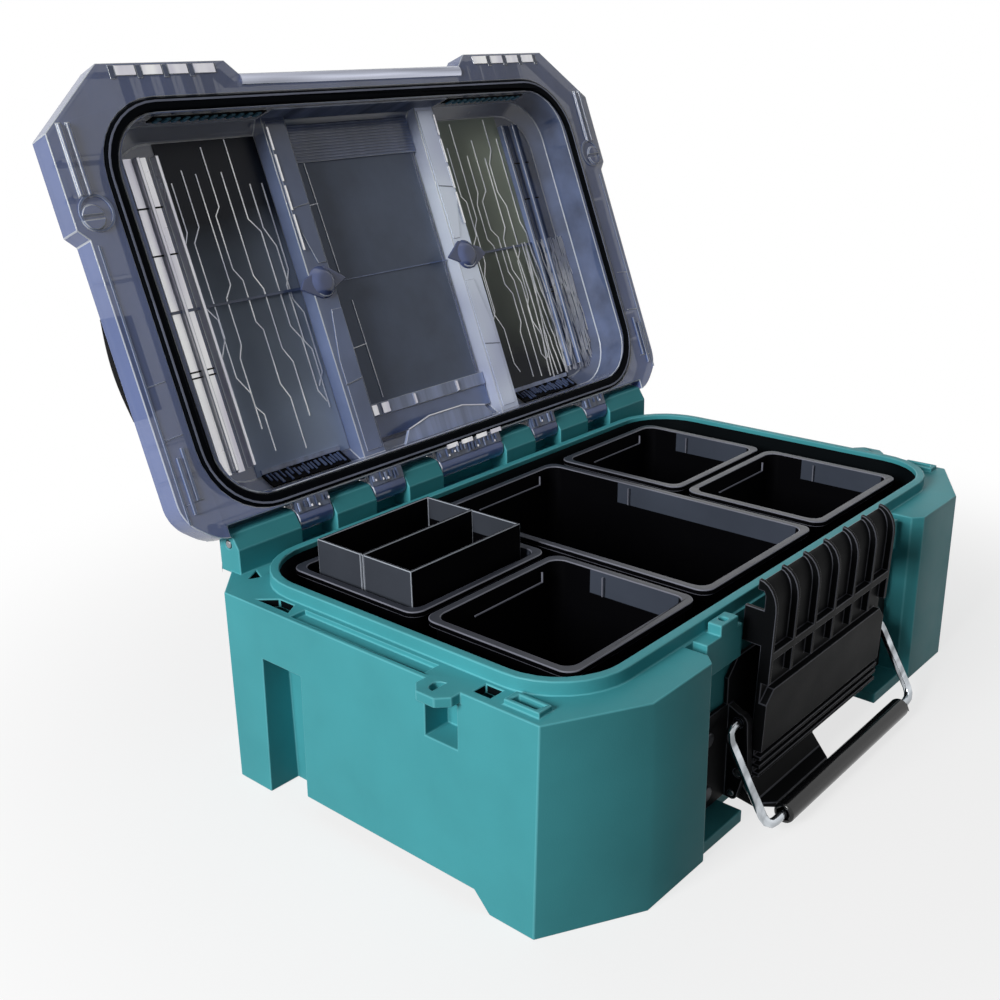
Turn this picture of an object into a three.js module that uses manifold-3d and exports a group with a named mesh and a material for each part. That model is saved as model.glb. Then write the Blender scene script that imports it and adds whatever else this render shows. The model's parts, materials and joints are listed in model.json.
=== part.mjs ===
import * as THREE from 'three';
import { mergeVertices } from 'three/addons/utils/BufferGeometryUtils.js';
import Module from 'manifold-3d';

const wasm = await Module();
wasm.setup();

// A tool organizer case with its clear lid open: millimetres, X along the hinge, Y to the rear,
// Z up, with the origin under the centre of the body on its flat underside.

// Fits shared by every piece
const clearance = 0.3;
const overrun = 1;
const cornerSteps = 8;
const bendSteps = 6;
const roundSides = 16;
const fineSides = 24;
const sides = [-1, 1];

// Case body: outer skirt
const bodyHalfWidth = 192;
const bodySideLean = 3;
const bodyTopHalfWidth = bodyHalfWidth - bodySideLean;
const bodyFrontY = -120.7;
const bodyRearY = 120.7;
const bodyWall = 3;
const frontChamferRun = 44;
const frontChamferRise = 25;
const frontChamferX = bodyHalfWidth - frontChamferRun;
const frontChamferY = bodyFrontY + frontChamferRise;
const rearChamferRun = 28.6;
const rearChamferRise = 28.7;
const rearChamferX = bodyHalfWidth - rearChamferRun;
const rearChamferY = bodyRearY - rearChamferRise;
const flangeTop = 97.5;
const flangeThickness = 4.5;
const skirtLift = 8.5;
const frontFootLength = 48.7;
const frontFootY = bodyFrontY + frontFootLength;
const rearFootWidth = 45.4;
const rearArchHalfWidth = rearChamferX - rearFootWidth;

// Case body: basin for the bins, and the sealing bead round its mouth
const sideFlangeWidth = 19.5;
const frontFlangeWidth = 20.2;
const rearFlangeWidth = 21.2;
const beadHalfWidthX = bodyHalfWidth - sideFlangeWidth;
const beadFrontY = bodyFrontY + frontFlangeWidth;
const beadRearY = bodyRearY - rearFlangeWidth;
const beadRadius = 34;
const beadWidth = 4.6;
const beadHeight = 6.4;
const beadTop = flangeTop + beadHeight;
const basinFloor = 3;
const floorRibWidth = 3;
const floorRibTop = 15;

// Case body: details of the side walls
const slotLength = 27;
const slotRearInset = 51.7;
const slotRearY = bodyRearY - slotRearInset;
const slotFrontY = slotRearY - slotLength;
const slotTopDrop = 26.5;
const slotTop = flangeTop - slotTopDrop;
const slotDepth = 17;
const pocketLength = 18;
const pocketHeight = 20;
const pocketFrontInset = 65.7;
const pocketTopDrop = 6.5;
const pocketFrontY = bodyFrontY + pocketFrontInset;
const pocketRearY = pocketFrontY + pocketLength;
const pocketTop = flangeTop - pocketTopDrop;
const pocketBottom = pocketTop - pocketHeight;
const pocketDepth = 16;

// Case body: details of the side flanges
const shelfStripDepth = 2.5;
const shelfStripInset = 5;
const shelfStripGap = 3;
const shelfStripOverlap = 8;
const shelfStripInnerX = beadHalfWidthX + shelfStripInset;
const shelfStripFrontY = pocketRearY + shelfStripGap;
const shelfStripRearY = slotFrontY + shelfStripOverlap;
const tabLength = 10;
const tabMargin = 2;
const tabReach = bodyTopHalfWidth + tabLength;
const tabFrontY = pocketFrontY - tabMargin;
const tabRearY = pocketRearY;
const tabCorner = 5;
const tabHoleInset = 8.5;
const tabHoleX = tabReach - tabHoleInset;
const tabHoleY = (tabFrontY + tabRearY) / 2;
const tabHoleRadius = 4;
const squareHoleInset = 4.5;
const squareHoleWidth = 7.5;
const squareHoleLength = 9;
const squareHoleGap = 5;
const squareHoleInnerX = beadHalfWidthX + squareHoleInset;
const squareHoleOuterX = squareHoleInnerX + squareHoleWidth;
const squareHoleRearY = pocketFrontY - squareHoleGap;
const squareHoleFrontY = squareHoleRearY - squareHoleLength;
const clipInset = 4.3;
const clipWidth = 8.2;
const clipLength = 18;
const clipGap = 7;
const clipHeight = 2.5;
const clipInnerX = beadHalfWidthX + clipInset;
const clipOuterX = clipInnerX + clipWidth;
const clipRearY = squareHoleFrontY - clipGap;
const clipFrontY = clipRearY - clipLength;
const clipTop = flangeTop + clipHeight;
const clipBorder = 2;
const cornerHoleSize = 9.5;
const cornerHoleShares = [[-0.08, -0.1], [-1, 0.47], [-0.63, -0.37]];
const sideHoleInset = 4.7;
const sideHoleWidth = 7;
const sideHoleLength = 22.6;
const sideHoleStart = 12;
const sideHoleInnerX = beadHalfWidthX + sideHoleInset;
const sideHoleFrontY = slotFrontY + sideHoleStart;
const sideHoleShares = [[1, 1], [0, 0.64], [0, 0.18], [1, 0]];

// Hinge: one long pin through the body's blocks and the lid's knuckles, which take turns along it
const hingeInset = 7.5;
const hingeHeight = 13.9;
const hingeEndMargin = 20.5;
const hingeY = bodyRearY - hingeInset;
const hingeZ = flangeTop + hingeHeight;
const hingeHalfWidth = bodyHalfWidth - hingeEndMargin;
const hingePinRadius = 2;
const hingeBoreRadius = 2.4;
const lidOpenAngle = 110.6;
const hingeBlockShares = [[0.157, 0.321], [0.46, 0.63], [0.764, 1]];
const lidKnuckleShares = [[0, 0.157], [0.321, 0.46], [0.63, 0.764]];
const hingeBlockRun = 8;
const hingeBlockStep = 1.4;
const hingeBlockRise = 6.9;
const hingeBlockPeakShares = [[-0.46, 0.855], [0.19, 1], [0.84, 0.09]];
const lidKnuckleRadius = 6.3;

// Latch, drawn locked: its place across the case and its pin
const latchHalfWidth = 60;
const latchPinReach = 9;
const latchPinZ = 22;

// Case body: latch recess between the two front pillars
const recessSideRoom = 40.6;
const recessWallGap = 3.5;
const recessHalfWidth = latchHalfWidth + recessSideRoom;
const recessWallY = beadFrontY - recessWallGap;
const pillarBevel = 5;

// Latch bracket on the recess wall: its ears, and the heights that follow from the bail's pivot
const earGap = 1.8;
const earThickness = 4.2;
const earInnerX = latchHalfWidth + earGap;
const earOuterX = earInnerX + earThickness;
const earRadius = 4.8;
const bailPivotDrop = 49.5;
const bailPivotZ = flangeTop - bailPivotDrop;
const bracketThickness = 2.2;
const bracketSideGap = 2.6;
const bracketShoulderRise = 8;
const bracketTowerHeight = 21;
const bracketTowerMargin = 1;
const bracketHalfWidth = recessHalfWidth - bracketSideGap;
const bracketBottom = 8;
const bracketShoulderZ = bailPivotZ + bracketShoulderRise;
const bracketTowerHalfWidth = earOuterX + bracketTowerMargin;
const bracketTop = bracketShoulderZ + bracketTowerHeight;
const bracketCorner = 8;

// Bracket screws
const screwSideInset = 14;
const screwEndInset = 10;
const screwX = bracketHalfWidth - screwSideInset;
const screwLowZ = bracketBottom + screwEndInset;
const screwHighZ = bracketShoulderZ - screwEndInset;
const screwHeadRadius = 3.5;
const screwHeadHeight = 1.8;
const screwShankRadius = 1.5;
const screwDepth = 3;

// Case body: ledges, shelves and ribs in the recess
const ledgeGap = 5;
const ledgeSideInset = 6.6;
const ledgeReach = 7;
const ledgeLift = 4;
const ledgeInnerX = latchHalfWidth + ledgeGap;
const ledgeOuterX = recessHalfWidth - ledgeSideInset;
const ledgeFrontY = recessWallY - ledgeReach;
const ledgeBottom = bracketTop + ledgeLift;
const ledgeBossInset = 11;
const ledgeBossX = ledgeInnerX + ledgeBossInset;
const ledgeBossHalfWidth = 7;
const ledgeBossHeight = 5;
const ledgeBossTop = flangeTop + ledgeBossHeight;
const ledgeBossHole = 2;
const recessShelfGap = 3;
const recessShelfSetback = 2.7;
const recessShelfInnerX = earOuterX + recessShelfGap;
const recessShelfFrontY = bodyFrontY + recessShelfSetback;
const recessShelfTop = 6;
const recessRibInset = 7;
const recessRibX = ledgeOuterX - recessRibInset;
const recessRibRadius = 4;

// Lid, drawn closed: its plan
const lidOverhang = 3;
const lidEarReach = 5;
const lidEarLength = 50;
const lidFrontOverhang = 0.3;
const lidChamferRun = 36;
const lidChamferRise = 31;
const lidHalfWidth = bodyHalfWidth + lidOverhang;
const lidEarHalfWidth = lidHalfWidth + lidEarReach;
const lidFrontY = bodyFrontY - lidFrontOverhang;
const lidChamferX = lidEarHalfWidth - lidChamferRun;
const lidChamferY = lidFrontY + lidChamferRise;
const lidEarRearY = lidChamferY + lidEarLength;
const lidEarStepY = lidEarRearY - lidEarReach;
const lipSetback = 7;
const lipMargin = 23;
const lipFrontY = lidFrontY + lipSetback;
const lipHalfWidth = latchHalfWidth + lipMargin;
const lipStepX = lipHalfWidth + lipSetback;
const lidRearSetback = 9.2;
const lidRearChamferRun = 8;
const lidRearY = hingeY - lidRearSetback;
const lidRearChamferY = lidRearY - lidRearChamferRun;
const lidHornGap = 0.8;
const lidHornWidth = 5.7;
const lidHornInnerX = hingeHalfWidth + lidHornGap;
const lidHornOuterX = lidHornInnerX + lidHornWidth;
const lidHornRearY = hingeY + lidHornGap;

// Lid: its heights and its gap for the latch's hook
const lidGap = 1.1;
const lidFlangeThickness = 4;
const lidWallHeight = 10;
const lidUnderside = beadTop + lidGap;
const lidFlangeTop = lidUnderside + lidFlangeThickness;
const lidWall = 2.5;
const lidWallTop = lidFlangeTop + lidWallHeight;
const hookGapMargin = 3;
const hookGapStep = 3;
const hookGapHalfWidth = latchHalfWidth + hookGapMargin;
const hookGapZ = lidFlangeTop + hookGapStep;

// Lid: dome over the basin, with its beams and strip ribs
const domeSideMargin = 6.5;
const domeEndMargin = 4.5;
const domeCornerDrop = 7;
const domeHeight = 21.5;
const domeShoulderDrop = 6.5;
const domeHalfWidth = beadHalfWidthX - domeSideMargin;
const domeFrontY = beadFrontY + domeEndMargin;
const domeRearY = beadRearY - domeEndMargin;
const domeRadius = beadRadius - domeCornerDrop;
const domeCeiling = lidFlangeTop + domeHeight;
const domeShoulderZ = domeCeiling - domeShoulderDrop;
const domeInset = 7;
const windowHalfWidth = 46;
const windowThickness = 1.5;
const windowEndInset = 9;
const windowGap = 4;
const beamWidth = 16;
const beamDrop = 10.5;
const beamInnerX = windowHalfWidth + windowGap;
const beamOuterX = beamInnerX + beamWidth;
const beamBottom = domeCeiling - beamDrop;
const beamBossY = -2;
const beamBossRadius = 7;
const beamBossDrop = 1.5;
const stripRibCount = 2;
const stripRibInset = 35;
const stripRibPitch = 11;
const stripRibWidth = 2.4;
const stripRibHeight = 4.5;
const stripRibBottom = domeCeiling - stripRibHeight;
const stripRibEndInset = 14;

// Lid: gutter ribs, and the marks under its side flanges
const gutterRibWidth = 2;
const gutterRibSideShares = [-0.65, -0.51, -0.18, 0.48, 0.63];
const gutterRibFrontShares = [0.08, 0.24, 0.41, 0.57, 0.73];
const gutterRibRearShares = [0.1, 0.31, 0.51, 0.72];
const flangeBarCount = 2;
const flangeBarInset = 13;
const flangeBarPitch = 4.5;
const flangeBarWidth = 2;
const flangeBarLength = 34;
const flangeBarLead = 4;
const flangeBarFrontY = lidChamferY - flangeBarLead;
const flangeBarDrop = 1.5;
const flangeBossInset = 10;
const flangeBossLead = 5;
const flangeBossX = lidEarHalfWidth - flangeBossInset;
const flangeBossY = lidEarStepY - flangeBossLead;
const flangeBossRadius = 6;
const flangeBossSlot = 2;

// Lid seal and side cleats
const sealWidth = 6.4;
const sealHeight = 3;
const cleatFrontY = -5;
const cleatLength = 47;
const cleatRearY = cleatFrontY + cleatLength;
const cleatWidth = 9;
const cleatHeight = 18;
const cleatTop = lidFlangeTop + cleatHeight;
const cleatRake = 8;

// Latch: its plate and hook
const latchPinRadius = 1.9;
const latchBoreRadius = 2.3;
const latchBarrelRadius = 4.6;
const latchOpenAtRest = 2.5;
const latchPinY = recessWallY - latchPinReach;
const latchBackStep = 1.6;
const latchPlateThickness = 2.4;
const latchRelief = 3.6;
const latchBackY = latchPinY - latchBackStep;
const latchPlateY = latchBackY - latchPlateThickness;
const latchFrontY = latchPlateY - latchRelief;
const latchFootDrop = 2;
const latchBottom = latchPinZ - latchFootDrop;
const hookBite = 3.3;
const hookPlay = 0.6;
const hookThickness = 3;
const hookRibHeight = 2;
const hookBendRise = 8.6;
const hookTipY = lipFrontY + hookBite;
const hookUnderZ = hookGapZ + hookPlay;
const latchBendZ = hookUnderZ - hookBendRise;
const latchPlateTop = hookUnderZ + hookThickness;
const latchTop = latchPlateTop + hookRibHeight;

// Latch: its ribs, panel, finger ridges and cheeks
const latchRibWidth = 2.2;
const latchRibCount = 7;
const latchRibDrop = 20;
const latchShortRibDrop = 16;
const latchPanelGap = 4;
const latchPanelFoot = 13;
const latchRibBottom = latchBendZ - latchRibDrop;
const latchCrossRibHeight = 4;
const latchShortRibBottom = latchRibBottom - latchShortRibDrop;
const latchPanelBottom = latchBottom + latchPanelFoot;
const latchPanelTop = latchShortRibBottom - latchPanelGap;
const latchPanelCorner = 6;
const latchRidgeCount = 3;
const latchRidgeHeight = 2;
const latchCheekGap = 1.2;
const latchCheekLift = 2;
const latchCheekDrop = 0.4;
const latchCheekBackY = recessWallY - latchCheekGap;
const latchCheekBottom = latchRibBottom + latchCheekLift;
const latchCheekTop = latchBendZ - latchCheekDrop;

// Wire bail hung in the bracket's ears, drawn straight down; at rest it leans out over the floor
const bailPivotReach = 8;
const bailPivotY = recessWallY - bailPivotReach;
const bailWireRadius = 2.2;
const bailArmGap = 10;
const bailArmX = earOuterX + bailArmGap;
const bailCorner = 7;
const bailLean = 29.6;
const bailFloorGap = 2.57;
const bailSides = 12;
const bailSteps = 80;
const gripRadius = 5;
const gripEndGap = 14;
const gripHalfLength = bailArmX - gripEndGap;
const bailDrop = bailPivotZ - gripRadius - bailFloorGap;
const bailArmLength = bailDrop / Math.cos(THREE.MathUtils.degToRad(bailLean));

// Stack lever under the latch
const leverOverhang = 1;
const leverWidth = 66;
const leverLeftX = -latchHalfWidth - leverOverhang;
const leverRightX = leverLeftX + leverWidth;
const leverPinReach = 6;
const leverPinY = recessWallY - leverPinReach;
const leverPinZ = 10;
const leverPinRadius = 1.4;
const leverBoreRadius = 1.8;
const leverBarrelRadius = 3;
const leverToeReach = 17;
const leverToeY = leverPinY - leverToeReach;
const leverToeBottom = 2.5;
const leverToeThickness = 3;
const leverToeTop = leverToeBottom + leverToeThickness;
const leverToeCorner = 8;
const leverLugWidth = 3.6;

// Bins
const binRimDrop = 4.5;
const binRim = beadTop - binRimDrop;
const binWall = 1.6;
const binLip = 2.5;
const binLipHeight = 3;
const binTaper = 2;
const binRadius = 7;
const centreBinHalfWidth = 51.6;
const binGap = 6.9;
const basinSideGap = 19.6;
const basinFrontGap = 16.1;
const basinRearGap = 9.3;
const binFrontRowLength = 84.1;
const binRowGap = 4.5;
const sideBinInnerX = centreBinHalfWidth + binGap;
const sideBinOuterX = beadHalfWidthX - basinSideGap;
const binFrontY = beadFrontY + basinFrontGap;
const binRearY = beadRearY - basinRearGap;
const binFrontRowRearY = binFrontY + binFrontRowLength;
const binRearRowFrontY = binFrontRowRearY + binRowGap;

// Tall insert tray standing in the left rear bin, with a lift-out divider
const trayOuterGap = 7.9;
const trayInnerGap = 10;
const trayFrontGap = 9.3;
const trayRearGap = 12.7;
const trayRise = 15.6;
const trayLeftX = trayOuterGap - sideBinOuterX;
const trayRightX = -sideBinInnerX - trayInnerGap;
const trayFrontY = binRearRowFrontY + trayFrontGap;
const trayRearY = binRearY - trayRearGap;
const trayRim = binRim + trayRise;
const trayWall = 1.5;
const dividerShift = 0.5;
const dividerY = (trayFrontY + trayRearY) / 2 + dividerShift;
const dividerThickness = 1.6;
const dividerSlotDepth = 55;
const dividerShoulderZ = trayRim - dividerSlotDepth;

// Directions and steps
const axisX = new THREE.Vector3(1, 0, 0);
const axisY = new THREE.Vector3(0, 1, 0);
const axisZ = new THREE.Vector3(0, 0, 1);
const quarterTurn = Math.PI / 2;

// The numbers 0 to 1 in count steps, both ends included
function shares(count) {
  return Array.from({ length: count + 1 }, (_, i) => i / count);
}

// A closed three.js geometry as a solid that can be joined and cut
function solid(geometry) {
  geometry.deleteAttribute('normal');
  geometry.deleteAttribute('uv');
  const welded = mergeVertices(geometry);
  return new wasm.Manifold(new wasm.Mesh({
    numProp: 3,
    vertProperties: new Float32Array(welded.attributes.position.array),
    triVerts: new Uint32Array(welded.index.array),
  }));
}

// An outline of [u, v] points pushed along its own normal
function extrude(points, depth) {
  const shape = new THREE.Shape(points.map(([u, v]) => new THREE.Vector2(u, v)));
  return new THREE.ExtrudeGeometry(shape, { depth, bevelEnabled: false });
}

// An outline of [x, y] points standing from z0 to z1
function prism(points, z0, z1) {
  return solid(extrude(points, z1 - z0).translate(0, 0, z0));
}

// An outline of [y, z] points running from x0 to x1
function profileX(points, x0, x1) {
  const turn = new THREE.Matrix4().makeBasis(axisY, axisZ, axisX);
  const start = Math.min(x0, x1);
  return solid(extrude(points, Math.abs(x1 - x0)).applyMatrix4(turn).translate(start, 0, 0));
}

// An outline of [x, z] points running from y0 to y1
function profileY(points, y0, y1) {
  const turn = new THREE.Matrix4().makeBasis(axisX, axisZ, axisY.clone().negate());
  return solid(extrude(points, y1 - y0).applyMatrix4(turn).translate(0, y1, 0));
}

function box(x0, x1, y0, y1, z0, z1) {
  const geometry = new THREE.BoxGeometry(Math.abs(x1 - x0), y1 - y0, z1 - z0);
  return solid(geometry.translate((x0 + x1) / 2, (y0 + y1) / 2, (z0 + z1) / 2));
}

function rodX(radius, x0, x1, y, z) {
  const rod = new THREE.CylinderGeometry(radius, radius, Math.abs(x1 - x0), roundSides);
  return solid(rod.rotateZ(quarterTurn).translate((x0 + x1) / 2, y, z));
}

function rodY(radius, x, y0, y1, z) {
  const rod = new THREE.CylinderGeometry(radius, radius, y1 - y0, roundSides);
  return solid(rod.translate(x, (y0 + y1) / 2, z));
}

function rodZ(radius, x, y, z0, z1) {
  const rod = new THREE.CylinderGeometry(radius, radius, z1 - z0, roundSides);
  return solid(rod.rotateX(quarterTurn).translate(x, y, (z0 + z1) / 2));
}

function joined(parts) {
  return parts.reduce((whole, part) => whole.add(part));
}

function cut(body, tools) {
  return tools.reduce((whole, tool) => whole.subtract(tool), body);
}

// A right half of an outline, front to rear, closed by its mirror image
function symmetric(rightHalf) {
  const leftHalf = rightHalf.map(([x, y]) => [-x, y]).reverse();
  return [...rightHalf, ...leftHalf];
}

// An outline written for the right side, carried to the side with the given sign
function onSide(side, points) {
  return points.map(([x, y]) => [side * x, y]);
}

// The unit vector to the left of the way from one point to the next
function leftNormal(from, to) {
  return new THREE.Vector2(from[1] - to[1], to[0] - from[0]).normalize();
}

// An anticlockwise outline moved inward by a distance, with mitred corners
function inset(points, distance) {
  return points.map((point, i) => {
    const before = points[(i + points.length - 1) % points.length];
    const after = points[(i + 1) % points.length];
    const arriving = leftNormal(before, point);
    const leaving = leftNormal(point, after);
    const reach = distance / (1 + arriving.dot(leaving));
    const push = arriving.add(leaving).multiplyScalar(reach);
    return [point[0] + push.x, point[1] + push.y];
  });
}

// A rectangle with round corners, anticlockwise
function roundedRect(x0, x1, y0, y1, radius) {
  const corners = [
    [x1 - radius, y0 + radius, -quarterTurn],
    [x1 - radius, y1 - radius, 0],
    [x0 + radius, y1 - radius, quarterTurn],
    [x0 + radius, y0 + radius, quarterTurn * 2],
  ];
  return corners.flatMap(([x, y, start]) => shares(cornerSteps).map((share) => {
    const angle = start + share * quarterTurn;
    return [x + radius * Math.cos(angle), y + radius * Math.sin(angle)];
  }));
}

// A rectangle with round corners that is inset by one distance at the bottom and another at the top
function taperedRect(x0, x1, y0, y1, radius, z0, z1, bottomInset, topInset) {
  const geometry = extrude(roundedRect(x0, x1, y0, y1, radius), z1 - z0).translate(0, 0, z0);
  const position = geometry.attributes.position;
  const middleX = (x0 + x1) / 2;
  const middleY = (y0 + y1) / 2;
  const halfX = (x1 - x0) / 2;
  const halfY = (y1 - y0) / 2;
  for (let i = 0; i < position.count; i += 1) {
    const away = position.getZ(i) < (z0 + z1) / 2 ? bottomInset : topInset;
    const x = middleX + (position.getX(i) - middleX) * (halfX - away) / halfX;
    const y = middleY + (position.getY(i) - middleY) * (halfY - away) / halfY;
    position.setXY(i, x, y);
  }
  return solid(geometry);
}

// The line of the sealing bead, moved outward by a distance
function beadLine(outward) {
  return roundedRect(
    -beadHalfWidthX - outward,
    beadHalfWidthX + outward,
    beadFrontY - outward,
    beadRearY + outward,
    beadRadius + outward,
  );
}

// A part of a round outline about [u, v], from one angle to another in quarter turns
function arc(u, v, radius, fromQuarter, toQuarter) {
  return shares(bendSteps).map((share) => {
    const angle = quarterTurn * (fromQuarter + (toQuarter - fromQuarter) * share);
    return [u + radius * Math.cos(angle), v + radius * Math.sin(angle)];
  });
}

function bodyOutline() {
  return symmetric([
    [recessHalfWidth, recessWallY],
    [recessHalfWidth, bodyFrontY + pillarBevel],
    [recessHalfWidth + pillarBevel, bodyFrontY],
    [frontChamferX, bodyFrontY],
    [bodyHalfWidth, frontChamferY],
    [bodyHalfWidth, rearChamferY],
    [rearChamferX, bodyRearY],
  ]);
}

// The leaning side walls: everything between the two of them, moved inward by a distance
function betweenSideWalls(inward, z0, z1) {
  const bottom = bodyHalfWidth - inward;
  const top = bodyTopHalfWidth - inward;
  const outline = [[-bottom, z0], [bottom, z0], [top, z1], [-top, z1]];
  return profileY(outline, bodyFrontY - overrun, bodyRearY + overrun);
}

// The space inside the skirt and round the basin, open below
function skirtHollow() {
  const top = flangeTop - flangeThickness;
  const inside = prism(inset(bodyOutline(), bodyWall), -overrun, top);
  const kept = [prism(beadLine(bodyWall - beadWidth / 2), -overrun, top)];
  for (const side of sides) {
    const inner = side * (bodyHalfWidth - slotDepth - bodyWall);
    const outer = side * bodyHalfWidth;
    const slotYs = [slotFrontY - bodyWall, slotRearY + bodyWall];
    const pocketYs = [pocketFrontY - bodyWall, pocketRearY + bodyWall];
    kept.push(box(inner, outer, ...slotYs, -overrun, slotTop + bodyWall));
    kept.push(box(inner, outer, ...pocketYs, pocketBottom - bodyWall, flangeTop));
  }
  return cut(inside.intersect(betweenSideWalls(bodyWall, -overrun, flangeTop)), kept);
}

// Slots, pockets, holes and arches of the side with the given sign
function sideCuts(side) {
  const outer = side * (bodyHalfWidth + overrun);
  const slotInner = side * (bodyHalfWidth - slotDepth);
  const pocketInner = side * (bodyHalfWidth - pocketDepth);
  const archInner = side * (beadHalfWidthX + beadWidth);
  const cornerHole = cornerHoleShares.map(([x, y]) => [
    beadHalfWidthX + x * cornerHoleSize,
    beadRearY + y * cornerHoleSize,
  ]);
  const sideHole = sideHoleShares.map(([x, y]) => [
    sideHoleInnerX + x * sideHoleWidth,
    sideHoleFrontY + y * sideHoleLength,
  ]);
  const throughFlange = [flangeTop - flangeThickness - overrun, flangeTop + overrun];
  const arch = [
    [frontFootY, -overrun],
    [slotRearY, -overrun],
    [slotRearY, skirtLift],
    [frontFootY + skirtLift, skirtLift],
    [frontFootY, 0],
  ];
  const strip = [shelfStripFrontY, shelfStripRearY, flangeTop - shelfStripDepth, flangeTop + overrun];
  const squareHoleXs = [side * squareHoleInnerX, side * squareHoleOuterX];
  return [
    box(slotInner, outer, slotFrontY, slotRearY, -overrun, slotTop),
    box(pocketInner, outer, pocketFrontY, pocketRearY, pocketBottom, pocketTop),
    profileX(arch, archInner, outer),
    box(side * shelfStripInnerX, side * (bodyTopHalfWidth - bodyWall), ...strip),
    prism(onSide(side, cornerHole), ...throughFlange),
    prism(onSide(side, sideHole), ...throughFlange),
    box(...squareHoleXs, squareHoleFrontY, squareHoleRearY, ...throughFlange),
  ];
}

// Lanyard tab with its D-shaped hole, level with the flange
function lanyardTab(side) {
  const underside = flangeTop - flangeThickness;
  const plate = prism(onSide(side, [
    [bodyTopHalfWidth - bodyWall, tabFrontY],
    [tabReach - tabCorner, tabFrontY],
    [tabReach, tabFrontY + tabCorner],
    [tabReach, tabRearY - tabCorner],
    [tabReach - tabCorner, tabRearY],
    [bodyTopHalfWidth - bodyWall, tabRearY],
  ]), underside, flangeTop);
  const hole = arc(tabHoleX, tabHoleY, tabHoleRadius, 0, 2);
  return { plate, hole: prism(onSide(side, hole), pocketTop - overrun, flangeTop + overrun) };
}

// Raised frame of a clip at the front end of a side flange
function clipFrame(side) {
  const outer = [side * clipInnerX, side * clipOuterX, clipFrontY, clipRearY];
  const frame = box(...outer, flangeTop - overrun, clipTop);
  const slant = clipBorder / 2;
  const window = prism(onSide(side, [
    [clipInnerX + clipBorder, clipFrontY + clipBorder],
    [clipOuterX - clipBorder, clipFrontY + clipBorder + slant],
    [clipOuterX - clipBorder, clipRearY - clipBorder],
    [clipInnerX + clipBorder, clipRearY - clipBorder - slant],
  ]), flangeTop - flangeThickness - overrun, clipTop + overrun);
  return { frame, window };
}

// Ledge beside the latch with its drilled boss, rib and shelf, all inside the front recess
function recessDetails(side) {
  const wall = recessWallY + overrun;
  const ledge = box(side * ledgeInnerX, side * ledgeOuterX, ledgeFrontY, wall, ledgeBottom, flangeTop);
  const bossFrom = side * (ledgeBossX - ledgeBossHalfWidth);
  const bossTo = side * (ledgeBossX + ledgeBossHalfWidth);
  const boss = box(bossFrom, bossTo, ledgeFrontY, recessWallY, flangeTop - overrun, ledgeBossTop);
  const bossY = (ledgeFrontY + recessWallY) / 2;
  const hole = rodZ(ledgeBossHole, side * ledgeBossX, bossY, flangeTop, ledgeBossTop + overrun);
  const outerX = side * (recessHalfWidth + overrun);
  const shelf = box(side * recessShelfInnerX, outerX, recessShelfFrontY, wall, 0, recessShelfTop);
  const ribBottom = bracketShoulderZ + clearance;
  const rib = rodZ(recessRibRadius, side * recessRibX, recessWallY, ribBottom, ledgeBottom + overrun);
  return joined([ledge, cut(boss, [hole]), shelf, rib]);
}

// Places along the hinge, from its middle to its end, for a table of shares
function alongHinge(spanShares) {
  return spanShares.map((span) => span.map((share) => share * hingeHalfWidth));
}

// Blocks on the rear flange that carry the hinge pin
function hingeBlocks() {
  const front = hingeY - hingeBlockRun;
  const outline = [
    [front, flangeTop - overrun],
    [front, hingeZ - hingeBlockStep],
    ...hingeBlockPeakShares.map(([y, z]) => [hingeY + y * hingeBlockRise, hingeZ + z * hingeBlockRise]),
    [bodyRearY, flangeTop],
    [bodyRearY, flangeTop - overrun],
  ];
  return sides.flatMap((side) => alongHinge(hingeBlockShares).map(([from, to]) => {
    const block = profileX(outline, side * (from + clearance), side * (to - clearance));
    const bore = rodX(hingeBoreRadius, side * (from - overrun), side * (to + overrun), hingeY, hingeZ);
    return cut(block, [bore]);
  }));
}

// Low ribs on the basin floor that keep the bins apart
function floorRibs() {
  const half = floorRibWidth / 2;
  const ribX = (centreBinHalfWidth + sideBinInnerX) / 2;
  const ribY = (binFrontRowRearY + binRearRowFrontY) / 2;
  const floor = basinFloor - overrun;
  return sides.flatMap((side) => {
    const x = side * ribX;
    return [
      box(x - half, x + half, binFrontY, binRearY, floor, floorRibTop),
      box(x, side * sideBinOuterX, ribY - half, ribY + half, floor, floorRibTop),
    ];
  });
}

function bracketScrewPlaces() {
  return sides.flatMap((side) => [screwLowZ, screwHighZ].map((z) => [side * screwX, z]));
}

function caseBody() {
  const shell = prism(bodyOutline(), 0, flangeTop).intersect(betweenSideWalls(0, 0, flangeTop));
  const basin = prism(beadLine(-beadWidth / 2), basinFloor, flangeTop + overrun);
  const bead = cut(prism(beadLine(beadWidth / 2), flangeTop - overrun, beadTop), [
    prism(beadLine(-beadWidth / 2), basinFloor, beadTop + overrun),
  ]);
  const tabs = sides.map(lanyardTab);
  const clips = sides.map(clipFrame);
  const rearArchYs = [beadRearY + beadWidth, bodyRearY + overrun];
  const rearArch = box(-rearArchHalfWidth, rearArchHalfWidth, ...rearArchYs, -overrun, skirtLift);
  const screwHoles = bracketScrewPlaces().map(([x, z]) => rodY(
    screwShankRadius + clearance,
    x,
    recessWallY - overrun,
    recessWallY + screwDepth + clearance,
    z,
  ));
  const hollowed = cut(shell, [skirtHollow(), basin, rearArch, ...sides.flatMap(sideCuts), ...screwHoles]);
  const fitted = joined([
    hollowed,
    bead,
    ...tabs.map((tab) => tab.plate),
    ...clips.map((clip) => clip.frame),
    ...sides.map(recessDetails),
    ...hingeBlocks(),
    ...floorRibs(),
  ]);
  return cut(fitted, [...tabs.map((tab) => tab.hole), ...clips.map((clip) => clip.window)]);
}

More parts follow.
